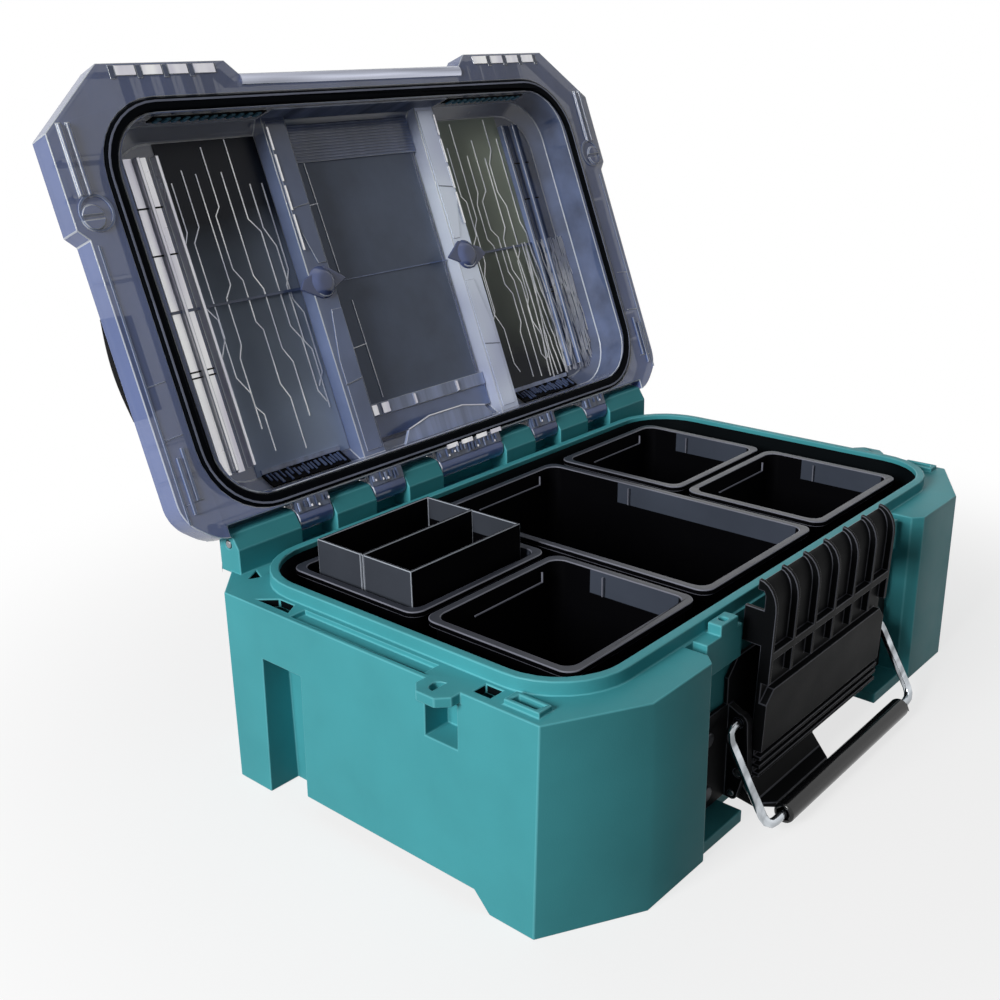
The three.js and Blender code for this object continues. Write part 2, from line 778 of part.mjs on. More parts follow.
function hingePin() {
  const end = hingeHalfWidth - clearance;
  return rodX(hingePinRadius, -end, end, hingeY, hingeZ);
}

function lidOutline() {
  return symmetric([
    [lipHalfWidth, lipFrontY],
    [lipStepX, lidFrontY],
    [lidChamferX, lidFrontY],
    [lidEarHalfWidth, lidChamferY],
    [lidEarHalfWidth, lidEarStepY],
    [lidHalfWidth, lidEarRearY],
    [lidHalfWidth, lidRearChamferY],
    [lidHornOuterX, lidHornRearY],
    [lidHornInnerX, lidHornRearY],
    [lidHornInnerX, lidRearY],
  ]);
}

// The dome over the basin: straight walls, then a sloping shoulder up to its top
function dome(outward, floorZ, shoulderZ, topZ) {
  const plan = [
    -domeHalfWidth - outward,
    domeHalfWidth + outward,
    domeFrontY - outward,
    domeRearY + outward,
    domeRadius + outward,
  ];
  const walls = taperedRect(...plan, floorZ, shoulderZ, 0, 0);
  return walls.add(taperedRect(...plan, shoulderZ, topZ, 0, domeInset));
}

// Stiffening ribs across the gutter between the lid's outer wall and its dome
function gutterRibs() {
  const half = gutterRibWidth / 2;
  const floor = lidFlangeTop - overrun;
  const insideX = domeHalfWidth + lidWall / 2;
  const outsideX = lidHalfWidth - lidWall / 2;
  const frontYs = [lidFrontY + lidWall / 2, domeFrontY - lidWall / 2];
  const rearYs = [domeRearY + lidWall / 2, lidRearY - lidWall / 2];
  const ribs = [];
  for (const side of sides) {
    for (const y of gutterRibSideShares.map((share) => share * bodyRearY)) {
      ribs.push(box(side * insideX, side * outsideX, y - half, y + half, floor, lidWallTop));
    }
    for (const x of gutterRibFrontShares.map((share) => lipStepX + share * (lidChamferX - lipStepX))) {
      ribs.push(box(side * x - half, side * x + half, ...frontYs, floor, lidWallTop));
    }
    for (const x of gutterRibRearShares.map((share) => share * lidHalfWidth)) {
      ribs.push(box(side * x - half, side * x + half, ...rearYs, floor, lidWallTop));
    }
  }
  return ribs;
}

// Two hollow beams across the dome's ceiling, each with a round boss, and the thin strip ribs
function ceilingBeams(side) {
  const from = side * beamInnerX;
  const to = side * beamOuterX;
  const beam = box(from, to, domeFrontY, domeRearY, beamBottom, domeCeiling + lidWall / 2);
  const bossX = (from + to) / 2;
  const boss = rodZ(beamBossRadius, bossX, beamBossY, beamBottom - beamBossDrop, beamBottom + lidWall);
  const strips = Array.from({ length: stripRibCount }, (_, i) => {
    const x = domeHalfWidth - stripRibInset + i * stripRibPitch;
    return box(
      side * x,
      side * (x + stripRibWidth),
      domeFrontY + stripRibEndInset,
      domeRearY - stripRibEndInset,
      stripRibBottom,
      domeCeiling + lidWall / 2,
    );
  });
  return joined([beam, boss, ...strips]);
}

// The groove over each beam, open upward, which keeps the beam's walls even
function beamGroove(side) {
  const from = side * (beamInnerX + lidWall);
  const to = side * (beamOuterX - lidWall);
  const top = domeCeiling + lidWall + overrun;
  return box(from, to, domeFrontY + domeInset, domeRearY - domeInset, beamBottom + lidWall, top);
}

// Two short bars and a slotted round boss under the lid's side flange
function flangeMarks(side) {
  const under = lidUnderside - flangeBarDrop;
  const barYs = [flangeBarFrontY, flangeBarFrontY + flangeBarLength];
  const bars = Array.from({ length: flangeBarCount }, (_, i) => {
    const from = lidEarHalfWidth - flangeBarInset + i * flangeBarPitch;
    return box(side * from, side * (from + flangeBarWidth), ...barYs, under, lidUnderside + overrun);
  });
  const boss = rodZ(flangeBossRadius, side * flangeBossX, flangeBossY, under, lidUnderside + overrun);
  const x = side * flangeBossX;
  const half = flangeBossSlot / 2;
  const reach = flangeBossRadius + overrun;
  const slotYs = [flangeBossY - half, flangeBossY + half];
  const slot = box(x - reach, x + reach, ...slotYs, under - overrun, lidUnderside);
  return joined([...bars, cut(boss, [slot])]);
}

// Knuckles with the webs that carry them
function lidKnuckles() {
  return sides.flatMap((side) => alongHinge(lidKnuckleShares).map(([from, to]) => {
    const x0 = side * (from === 0 ? -overrun : from + clearance);
    const x1 = side * (to - clearance);
    const web = box(x0, x1, lidRearY - lidWall, hingeY, lidFlangeTop, hingeZ + lidKnuckleRadius / 2);
    return rodX(lidKnuckleRadius, x0, x1, hingeY, hingeZ).add(web);
  }));
}

function lidShell() {
  const outer = prism(lidOutline(), lidUnderside, lidWallTop);
  const gutter = cut(prism(inset(lidOutline(), lidWall), lidFlangeTop, lidWallTop + overrun), [
    dome(lidWall, lidUnderside - overrun, domeShoulderZ, domeCeiling + lidWall),
  ]);
  const rim = cut(outer, [gutter]).add(dome(lidWall, lidUnderside, domeShoulderZ, domeCeiling + lidWall));
  const hookGap = box(
    -hookGapHalfWidth,
    hookGapHalfWidth,
    lipFrontY - overrun,
    domeFrontY - lidWall,
    hookGapZ,
    lidWallTop + overrun,
  );
  const grooveHalf = sealWidth / 2 + clearance;
  const grooveTop = sealBottom() + sealHeight + clearance;
  const sealGroove = cut(prism(beadLine(grooveHalf), lidUnderside - overrun, grooveTop), [
    prism(beadLine(-grooveHalf), lidUnderside - overrun * 2, lidFlangeTop),
  ]);
  const hollow = dome(0, lidUnderside - overrun, domeShoulderZ, domeCeiling);
  const shell = joined([
    cut(rim, [hollow]),
    ...gutterRibs(),
    ...sides.map(ceilingBeams),
    ...sides.map(flangeMarks),
    ...lidKnuckles(),
  ]);
  const bore = rodX(hingeBoreRadius, -hingeHalfWidth, hingeHalfWidth, hingeY, hingeZ);
  return cut(shell, [hookGap, sealGroove, bore, ...sides.map(beamGroove)]);
}

function sealBottom() {
  return beadTop + clearance;
}

function lidSeal() {
  return cut(prism(beadLine(sealWidth / 2), sealBottom(), sealBottom() + sealHeight), [
    prism(beadLine(-sealWidth / 2), sealBottom() - overrun, sealBottom() + sealHeight + overrun),
  ]);
}

function lidWindowPlate() {
  const top = domeCeiling - clearance;
  const front = domeFrontY + windowEndInset;
  const rear = domeRearY - windowEndInset;
  return box(-windowHalfWidth, windowHalfWidth, front, rear, top - windowThickness, top);
}

// Black cleat standing in the gutter on one side, higher in its middle
function lidCleat(side) {
  const outer = lidHalfWidth - lidWall - clearance;
  const foot = lidFlangeTop + clearance;
  const outline = [
    [cleatFrontY, foot],
    [cleatRearY, foot],
    [cleatRearY, cleatTop - cleatRake],
    [cleatRearY - cleatRake, cleatTop],
    [cleatFrontY + cleatRake, cleatTop],
    [cleatFrontY, cleatTop - cleatRake],
  ];
  return profileX(outline, side * (outer - cleatWidth), side * outer);
}

// A quarter of an oval from the latch's upright front to the tip of its hook
function latchCurve(frontY, topZ) {
  return shares(bendSteps).map((share) => [
    hookTipY - (hookTipY - frontY) * Math.cos(share * quarterTurn),
    latchBendZ + (topZ - latchBendZ) * Math.sin(share * quarterTurn),
  ]);
}

function latch() {
  const plateOutline = [
    [latchBackY, latchBottom],
    [latchPlateY, latchBottom],
    ...latchCurve(latchPlateY, latchPlateTop),
    [hookTipY, hookUnderZ],
    [latchBackY, hookUnderZ],
  ];
  const plate = profileX(plateOutline, -latchHalfWidth, latchHalfWidth);
  const rooted = (latchBackY + latchPlateY) / 2;
  const ribOutline = [
    [rooted, latchShortRibBottom],
    [latchFrontY, latchShortRibBottom],
    ...latchCurve(latchFrontY, latchTop),
    [hookTipY, latchPlateTop - overrun],
    ...latchCurve(rooted, latchPlateTop - overrun).reverse(),
  ];
  const ribPitch = (latchHalfWidth * 2 - latchRibWidth) / (latchRibCount - 1);
  const ribs = Array.from({ length: latchRibCount }, (_, i) => {
    const x = -latchHalfWidth + i * ribPitch;
    return profileX(ribOutline, x, x + latchRibWidth);
  });
  const crossRib = box(
    -latchHalfWidth,
    latchHalfWidth,
    latchFrontY,
    rooted,
    latchRibBottom - latchCrossRibHeight,
    latchRibBottom,
  );
  const panel = profileY([
    [-latchHalfWidth, latchPanelBottom],
    [latchHalfWidth, latchPanelBottom],
    [latchHalfWidth, latchPanelTop - latchPanelCorner],
    [latchHalfWidth - latchPanelCorner, latchPanelTop],
    [latchPanelCorner - latchHalfWidth, latchPanelTop],
    [-latchHalfWidth, latchPanelTop - latchPanelCorner],
  ], latchFrontY, rooted);
  const ridgePitch = (latchPanelBottom - latchBottom) / latchRidgeCount;
  const ridges = Array.from({ length: latchRidgeCount }, (_, i) => {
    const z = latchBottom + i * ridgePitch;
    return box(-latchHalfWidth, latchHalfWidth, latchFrontY, rooted, z, z + latchRidgeHeight);
  });
  const cheeks = sides.map((side) => {
    const outer = side * latchHalfWidth;
    const inner = side * (latchHalfWidth - latchRibWidth);
    return box(inner, outer, rooted, latchCheekBackY, latchCheekBottom, latchCheekTop);
  });
  const barrel = rodX(latchBarrelRadius, -latchHalfWidth, latchHalfWidth, latchPinY, latchPinZ);
  const boreEnd = latchHalfWidth + overrun;
  const bore = rodX(latchBoreRadius, -boreEnd, boreEnd, latchPinY, latchPinZ);
  return cut(joined([plate, ...ribs, crossRib, panel, ...ridges, ...cheeks, barrel]), [bore]);
}

// One ear of the bracket: it carries the latch pin and one end of the bail
function bracketEar(side) {
  const back = recessWallY - clearance - bracketThickness / 2;
  const outline = [
    [back, bracketBottom],
    ...arc(leverPinY, leverPinZ, leverBarrelRadius, -1, -2),
    ...arc(latchPinY, latchPinZ, earRadius, -2.4, -2),
    ...arc(bailPivotY, bailPivotZ, earRadius, -2, -3),
    [back, bracketShoulderZ],
  ];
  return profileX(outline, side * earInnerX, side * earOuterX);
}

function latchBracket() {
  const back = recessWallY - clearance;
  const front = back - bracketThickness;
  const plate = profileY(symmetric([
    [bracketHalfWidth, bracketBottom],
    [bracketHalfWidth, bracketShoulderZ - bracketCorner],
    [bracketHalfWidth - bracketCorner, bracketShoulderZ],
    [bracketTowerHalfWidth, bracketShoulderZ],
    [bracketTowerHalfWidth, bracketTop - bracketCorner],
    [bracketTowerHalfWidth - bracketCorner, bracketTop],
  ]), front, back);
  const lugX = leverRightX + clearance;
  const lug = profileX([
    [back, leverPinZ - leverBarrelRadius],
    ...arc(leverPinY, leverPinZ, leverBarrelRadius, -1, -3),
    [back, leverPinZ + leverBarrelRadius],
  ], lugX, lugX + leverLugWidth);
  const reach = earOuterX + overrun;
  const holes = [
    rodX(latchBoreRadius, -reach, reach, latchPinY, latchPinZ),
    rodX(bailWireRadius + clearance, -reach, reach, bailPivotY, bailPivotZ),
    rodX(leverBoreRadius, -reach, lugX + leverLugWidth + overrun, leverPinY, leverPinZ),
    ...bracketScrewPlaces().map(([x, z]) => rodY(
      screwShankRadius + clearance,
      x,
      front - overrun,
      back + overrun,
      z,
    )),
  ];
  return cut(joined([plate, lug, ...sides.map(bracketEar)]), holes);
}

function bracketScrew(x, z) {
  const seat = recessWallY - clearance * 2 - bracketThickness;
  const head = rodY(screwHeadRadius, x, seat - screwHeadHeight, seat, z);
  return head.add(rodY(screwShankRadius, x, seat - screwHeadHeight / 2, recessWallY + screwDepth, z));
}

function latchPin() {
  return rodX(latchPinRadius, -earOuterX, earOuterX, latchPinY, latchPinZ);
}

function leverPin() {
  const right = leverRightX + clearance + leverLugWidth;
  return rodX(leverPinRadius, -earOuterX, right, leverPinY, leverPinZ);
}

// The bail's line: in through one ear, down, across and up to the other ear
function bailPath() {
  const inner = earInnerX;
  const corners = [
    [-inner, 0],
    [-bailArmX, 0],
    [-bailArmX, -bailArmLength],
    [bailArmX, -bailArmLength],
    [bailArmX, 0],
    [inner, 0],
  ].map(([x, z]) => new THREE.Vector3(x, 0, z));
  const path = new THREE.CurvePath();
  let start = corners[0];
  for (let i = 1; i < corners.length - 1; i += 1) {
    const corner = corners[i];
    const back = corners[i - 1].clone().sub(corner).setLength(bailCorner);
    const onward = corners[i + 1].clone().sub(corner).setLength(bailCorner);
    const arrive = corner.clone().add(back);
    const leave = corner.clone().add(onward);
    path.add(new THREE.LineCurve3(start, arrive));
    path.add(new THREE.QuadraticBezierCurve3(arrive, corner, leave));
    start = leave;
  }
  path.add(new THREE.LineCurve3(start, corners.at(-1)));
  return path;
}

function bailWire() {
  const section = new THREE.Shape(Array.from({ length: bailSides }, (_, i) => {
    const angle = i / bailSides * quarterTurn * 4;
    return new THREE.Vector2(Math.cos(angle) * bailWireRadius, Math.sin(angle) * bailWireRadius);
  }));
  return solid(new THREE.ExtrudeGeometry(section, { steps: bailSteps, extrudePath: bailPath() }));
}

function bailGrip() {
  const tube = new THREE.CylinderGeometry(gripRadius, gripRadius, gripHalfLength * 2, fineSides);
  const bore = bailWireRadius + clearance;
  const hole = rodX(bore, -gripHalfLength - overrun, gripHalfLength + overrun, 0, -bailArmLength);
  return cut(solid(tube.rotateZ(quarterTurn).translate(0, 0, -bailArmLength)), [hole]);
}

// Flat toe with cut corners and an apron that rises to the lever's barrel
function stackLever() {
  const left = leverLeftX + clearance;
  const apron = profileX([
    [leverToeY, leverToeBottom],
    [leverPinY, leverToeBottom * 2],
    [leverPinY, leverPinZ + leverBarrelRadius],
    [leverPinY - leverBarrelRadius, leverPinZ + leverBarrelRadius],
    [leverToeY + leverToeCorner, leverToeTop],
    [leverToeY, leverToeTop],
  ], left, leverRightX);
  const plan = prism([
    [left + leverToeCorner, leverToeY],
    [leverRightX - leverToeCorner, leverToeY],
    [leverRightX, leverToeY + leverToeCorner],
    [leverRightX, recessWallY],
    [left, recessWallY],
    [left, leverToeY + leverToeCorner],
  ], 0, leverPinZ * 2);
  const barrel = rodX(leverBarrelRadius, left, leverRightX, leverPinY, leverPinZ);
  const bore = rodX(leverBoreRadius, left - overrun, leverRightX + overrun, leverPinY, leverPinZ);
  return cut(apron.intersect(plan).add(barrel), [bore]);
}

// A bin with an outward lip, slightly narrower at its floor
function bin(x0, x1, y0, y1) {
  const floor = basinFloor + clearance;
  const inner = binLip + binWall;
  const tub = taperedRect(x0, x1, y0, y1, binRadius, floor, binRim, binLip + binTaper, binLip);
  const lip = taperedRect(x0, x1, y0, y1, binRadius, binRim - binLipHeight, binRim, 0, 0);
  const cavityZs = [floor + binWall, binRim + overrun];
  const cavity = taperedRect(x0, x1, y0, y1, binRadius, ...cavityZs, inner + binTaper, inner);
  return cut(tub.add(lip), [cavity]);
}

function insertTray() {
  const floor = basinFloor + clearance + binWall + clearance;
  const outer = box(trayLeftX, trayRightX, trayFrontY, trayRearY, floor, trayRim);
  const cavity = box(
    trayLeftX + trayWall,
    trayRightX - trayWall,
    trayFrontY + trayWall,
    trayRearY - trayWall,
    floor + trayWall,
    trayRim + overrun,
  );
  const half = dividerThickness / 2 + clearance;
  const slotBottom = dividerShoulderZ - clearance;
  const slot = box(
    trayLeftX - overrun,
    trayRightX + overrun,
    dividerY - half,
    dividerY + half,
    slotBottom,
    trayRim + overrun,
  );
  return cut(outer, [cavity, slot]);
}

function trayDivider() {
  const bottom = basinFloor + clearance + binWall + clearance + trayWall + clearance;
  const left = trayLeftX + trayWall + clearance;
  const right = trayRightX - trayWall - clearance;
  const outline = [
    [left, bottom],
    [right, bottom],
    [right, dividerShoulderZ],
    [trayRightX, dividerShoulderZ],
    [trayRightX, trayRim],
    [trayLeftX, trayRim],
    [trayLeftX, dividerShoulderZ],
    [left, dividerShoulderZ],
  ];
  return profileY(outline, dividerY - dividerThickness / 2, dividerY + dividerThickness / 2);
}

function plastic(color, roughness) {
  return new THREE.MeshStandardMaterial({ color, roughness, metalness: 0 });
}

const tealPlastic = plastic(0x4aa3ab, 0.55);
const blackPlastic = plastic(0x17181a, 0.6);
const sealRubber = plastic(0x0c0d0f, 0.8);
const frostedPlastic = plastic(0x8f95a8, 0.6);
const smokyPlastic = new THREE.MeshStandardMaterial({
  color: 0x8d93b0,
  roughness: 0.15,
  metalness: 0,
  transparent: true,
  opacity: 0.45,
});
const chromeSteel = new THREE.MeshStandardMaterial({ color: 0xd2d4d6, roughness: 0.12, metalness: 1 });
const pinSteel = new THREE.MeshStandardMaterial({ color: 0x8c8f92, roughness: 0.35, metalness: 1 });

function meshOf(name, body, material) {
  const raw = body.getMesh();
  const geometry = new THREE.BufferGeometry();
  geometry.setAttribute('position', new THREE.BufferAttribute(raw.vertProperties, 3));
  geometry.setIndex(new THREE.BufferAttribute(raw.triVerts, 1));
  const mesh = new THREE.Mesh(geometry, material);
  mesh.name = name;
  return mesh;
}

// A group that turns about a line along X, holding pieces drawn in the case's own frame
function turning(y, z, degrees, meshes) {
  const group = new THREE.Group();
  group.position.set(0, y, z);
  group.rotation.x = THREE.MathUtils.degToRad(degrees);
  for (const mesh of meshes) {
    mesh.position.set(0, -y, -z);
    group.add(mesh);
  }
  return group;
}

const organizer = new THREE.Group();

organizer.add(
  meshOf('case_body', caseBody(), tealPlastic),
  meshOf('hinge_pin', hingePin(), pinSteel),
  meshOf('latch_bracket', latchBracket(), blackPlastic),
  meshOf('latch_pin', latchPin(), pinSteel),
  meshOf('lever_pin', leverPin(), pinSteel),
  meshOf('stack_lever', stackLever(), blackPlastic),
);

bracketScrewPlaces().forEach(([x, z], i) => {
  organizer.add(meshOf(`bracket_screw_${i + 1}`, bracketScrew(x, z), pinSteel));
});

organizer.add(turning(hingeY, hingeZ, -lidOpenAngle, [
  meshOf('lid_shell', lidShell(), smokyPlastic),
  meshOf('lid_seal', lidSeal(), sealRubber),
  meshOf('lid_window_plate', lidWindowPlate(), frostedPlastic),
  meshOf('lid_cleat_left', lidCleat(-1), blackPlastic),
  meshOf('lid_cleat_right', lidCleat(1), blackPlastic),
]));

organizer.add(turning(latchPinY, latchPinZ, latchOpenAtRest, [meshOf('latch', latch(), blackPlastic)]));

const bail = new THREE.Group();
bail.position.set(0, bailPivotY, bailPivotZ);
bail.rotation.x = THREE.MathUtils.degToRad(-bailLean);
bail.add(meshOf('bail_wire', bailWire(), chromeSteel), meshOf('bail_grip', bailGrip(), blackPlastic));
organizer.add(bail);

organizer.add(
  meshOf('bin_center', bin(-centreBinHalfWidth, centreBinHalfWidth, binFrontY, binRearY), blackPlastic),
);
for (const [name, side] of [['left', -1], ['right', 1]]) {
  const x0 = Math.min(side * sideBinInnerX, side * sideBinOuterX);
  const x1 = Math.max(side * sideBinInnerX, side * sideBinOuterX);
  organizer.add(
    meshOf(`bin_${name}_front`, bin(x0, x1, binFrontY, binFrontRowRearY), blackPlastic),
    meshOf(`bin_${name}_rear`, bin(x0, x1, binRearRowFrontY, binRearY), blackPlastic),
  );
}

organizer.add(
  meshOf('insert_tray', insertTray(), blackPlastic),
  meshOf('tray_divider', trayDivider(), blackPlastic),
);

export default organizer;
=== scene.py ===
import itertools
import json
import math
import random

import bmesh
import bpy
from mathutils import Matrix, Vector


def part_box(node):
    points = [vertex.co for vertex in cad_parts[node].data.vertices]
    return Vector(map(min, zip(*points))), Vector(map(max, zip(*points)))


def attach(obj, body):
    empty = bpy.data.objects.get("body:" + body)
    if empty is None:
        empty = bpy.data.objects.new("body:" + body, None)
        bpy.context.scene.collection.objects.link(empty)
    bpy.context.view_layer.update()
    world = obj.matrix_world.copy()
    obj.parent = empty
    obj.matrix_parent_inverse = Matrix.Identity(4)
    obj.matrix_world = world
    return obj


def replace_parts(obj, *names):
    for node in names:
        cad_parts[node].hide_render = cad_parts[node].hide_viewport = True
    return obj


# a tool organizer case with its clear lid open; metres, X along the hinge, Y to the rear, Z up
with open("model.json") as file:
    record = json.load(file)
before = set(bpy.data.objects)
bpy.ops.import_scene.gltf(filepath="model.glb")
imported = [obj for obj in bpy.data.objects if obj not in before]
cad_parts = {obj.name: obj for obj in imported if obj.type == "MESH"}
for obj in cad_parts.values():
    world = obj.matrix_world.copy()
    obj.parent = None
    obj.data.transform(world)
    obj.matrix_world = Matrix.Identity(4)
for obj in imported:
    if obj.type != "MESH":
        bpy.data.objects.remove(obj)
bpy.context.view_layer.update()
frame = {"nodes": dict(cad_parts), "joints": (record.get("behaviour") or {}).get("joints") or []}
nodes = frame["nodes"]
print("frame loaded")

# how far the turned bodies stand from their unturned places at rest, in degrees about X
restTurns = {"lid_hinge": -110.6, "latch_swing": 2.5, "bail_swing": -29.6}


def restTurn(jointName):
    # what rides on a turned body is drawn unturned, and this takes it to its rest place
    joint = next(j for j in frame["joints"] if j["name"] == jointName)
    pivot = Vector(joint["pos_m"])
    turn = Matrix.Rotation(math.radians(restTurns[jointName]), 4, "X")
    return Matrix.Translation(pivot) @ turn @ Matrix.Translation(-pivot)


lidOpen = restTurn("lid_hinge")
latchAjar = restTurn("latch_swing")
bailLean = restTurn("bail_swing")
standing = Matrix.Identity(4)
millimetres = Matrix.Scale(0.001, 4)


# node helpers

def feed(tree, node, *ordered, **named):
    # fills a node's sockets by order or by name: an output is linked, anything else is set on the socket
    pairs = list(zip(node.inputs, ordered))
    pairs += [(node.inputs[name.replace("_", " ")], value) for name, value in named.items()]
    for socket, value in pairs:
        if isinstance(value, bpy.types.NodeSocket):
            tree.links.new(value, socket)
        else:
            socket.default_value = value


def addNode(tree, kind, settings=None, *ordered, **named):
    node = tree.nodes.new(kind)
    for key, value in (settings or {}).items():
        setattr(node, key, value)
    feed(tree, node, *ordered, **named)
    return node


def startMaterial(name, **fixed):
    material = bpy.data.materials.new(name)
    material.use_nodes = True
    tree = material.node_tree
    shader = tree.nodes["Principled BSDF"]
    feed(tree, shader, **fixed)
    return material, tree, shader


def objectNoise(tree, scale, detail=2.0, stretch=(1, 1, 1)):
    # noise that sits still on the piece, because it reads object coordinates
    place = addNode(tree, "ShaderNodeTexCoord").outputs["Object"]
    mapped = addNode(tree, "ShaderNodeMapping", Vector=place, Scale=stretch).outputs["Vector"]
    return addNode(tree, "ShaderNodeTexNoise", Vector=mapped, Scale=scale, Detail=detail).outputs["Fac"]


def rampBetween(tree, source, stops):
    ramp = addNode(tree, "ShaderNodeValToRGB", Fac=source)
    for element, (position, colour) in zip(ramp.color_ramp.elements, stops):
        element.position = position
        element.color = colour
    return ramp.outputs["Color"]


# colours and finishes

def srgb(red, green, blue):
    def linear(value):
        share = value / 255
        return share / 12.92 if share <= 0.04045 else ((share + 0.055) / 1.055) ** 2.4
    return (linear(red), linear(green), linear(blue), 1.0)


def shaded(tint, factor):
    return (*[min(1.0, part * factor) for part in tint[:3]], 1.0)


def mottled(tree, tint, contrast, scale, stretch=(1, 1, 1), detail=4.0, edge=0.3):
    # the tint in darker and lighter patches
    patch = objectNoise(tree, scale, detail, stretch)
    stops = [(edge, shaded(tint, 1 - contrast)), (1 - edge, shaded(tint, 1 + contrast))]
    return rampBetween(tree, patch, stops)


def addGrain(tree, shader, scale, strength, distance=0.0002):
    grain = objectNoise(tree, scale, 3.0)
    bump = addNode(tree, "ShaderNodeBump", Strength=strength, Distance=distance, Height=grain)
    feed(tree, shader, Normal=bump.outputs["Normal"])


def varyRoughness(tree, shader, scale, low, high):
    patch = objectNoise(tree, scale)
    spread = addNode(tree, "ShaderNodeMapRange", Value=patch, To_Min=low, To_Max=high)
    feed(tree, shader, Roughness=spread.outputs["Result"])


satin = {"patchScale": 26, "sheenScale": 60, "smoother": 0.06, "rougher": 0.08}


def mouldedPlastic(name, tint, roughness, grainScale, grainStrength, contrast, shine=0.3):
    # satin moulded plastic: faint mottling, fine grain, uneven sheen
    material, tree, shader = startMaterial(name, Specular_IOR_Level=shine)
    feed(tree, shader, Base_Color=mottled(tree, tint, contrast, satin["patchScale"]))
    low, high = roughness - satin["smoother"], roughness + satin["rougher"]
    varyRoughness(tree, shader, satin["sheenScale"], low, high)
    addGrain(tree, shader, grainScale, grainStrength)
    return material


smoky = {
    "fixed": {"Specular_IOR_Level": 0.4, "Coat_Weight": 0.3, "Coat_Roughness": 0.1},
    "patchScale": 17, "sheenScale": 45, "smoother": 0.6, "rougher": 1.6, "grain": (160, 0.06, 0.0004),
    "fadeFromZ": 0.13, "fadeToZ": 0.31,
}


def darkerUpwards(tree, tone, topShare):
    # the tint deepens towards the top of the opened lid: painted shade
    place = addNode(tree, "ShaderNodeTexCoord").outputs["Object"]
    split = addNode(tree, "ShaderNodeSeparateXYZ", Vector=place)
    share = addNode(tree, "ShaderNodeMapRange", Value=split.outputs["Z"], From_Min=smoky["fadeFromZ"],
                    From_Max=smoky["fadeToZ"], To_Min=1.0, To_Max=topShare).outputs["Result"]
    return addNode(tree, "ShaderNodeVectorMath", {"operation": "SCALE"}, tone, Scale=share).outputs["Vector"]


def clearPlastic(name, tint, alpha, roughness=0.14, contrast=0.3, stretch=(1, 0.35, 0.35), topShare=0.66):
    # smoky clear plastic: tinted, glossy, with long faint flow marks and painted shade towards the top
    material, tree, shader = startMaterial(name, Alpha=alpha, **smoky["fixed"])
    patches = mottled(tree, tint, contrast, smoky["patchScale"], stretch)
    feed(tree, shader, Base_Color=darkerUpwards(tree, patches, topShare))
    low, high = roughness * smoky["smoother"], roughness * smoky["rougher"]
    varyRoughness(tree, shader, smoky["sheenScale"], low, high)
    addGrain(tree, shader, *smoky["grain"])
    return material


streaksAndReflections = {"detail": 2.0, "edge": 0.35}


def metal(name, tint, low, high, streakScale, stretch, contrast=0.1, metallic=1.0):
    # metal with long streaks in its tint: faint scratches on the pins and screws, strong bands on the chrome
    # wire and the lip bar that are painted reflections; a share of it on plastic gives the glint of a
    # polished clear edge, and the pale tints it is given there are painted highlights
    material, tree, shader = startMaterial(name, Metallic=metallic)
    tone = mottled(tree, tint, contrast, streakScale, stretch, streaksAndReflections["detail"], streaksAndReflections["edge"])
    feed(tree, shader, Base_Color=tone)
    varyRoughness(tree, shader, streakScale, low, high)
    return material


clouded = {
    "shine": 0.16, "cloudScale": 11, "cloudDetail": 3.0, "cloudShare": 0.5, "from": 0.55, "to": 1.0,
    "sheenScale": 30, "roughness": (0.26, 0.4), "grain": (90, 0.05, 0.0004),
}


def smokyPaneWithPaintedReflection(name, frontTint, rearKey, alpha):
    # a smoky window, cloudy all over, whose tint changes from the lid's front edge to its hinge edge; the
    # pale and warm ends of that change are painted reflections
    material, tree, shader = startMaterial(name, Alpha=alpha, Specular_IOR_Level=clouded["shine"])
    plan = addNode(tree, "ShaderNodeUVMap", {"uv_map": "plan"}).outputs["UV"]
    depth = addNode(tree, "ShaderNodeSeparateXYZ", Vector=plan).outputs["Y"]
    cloud = objectNoise(tree, clouded["cloudScale"], clouded["cloudDetail"])
    drift = addNode(tree, "ShaderNodeMath", {"operation": "MULTIPLY_ADD"},
                    cloud, clouded["cloudShare"], depth)
    stops = [(clouded["from"], frontTint), (clouded["to"], srgb(*tints[rearKey]))]
    feed(tree, shader, Base_Color=rampBetween(tree, drift.outputs[0], stops))
    varyRoughness(tree, shader, clouded["sheenScale"], *clouded["roughness"])
    addGrain(tree, shader, *clouded["grain"])
    return material


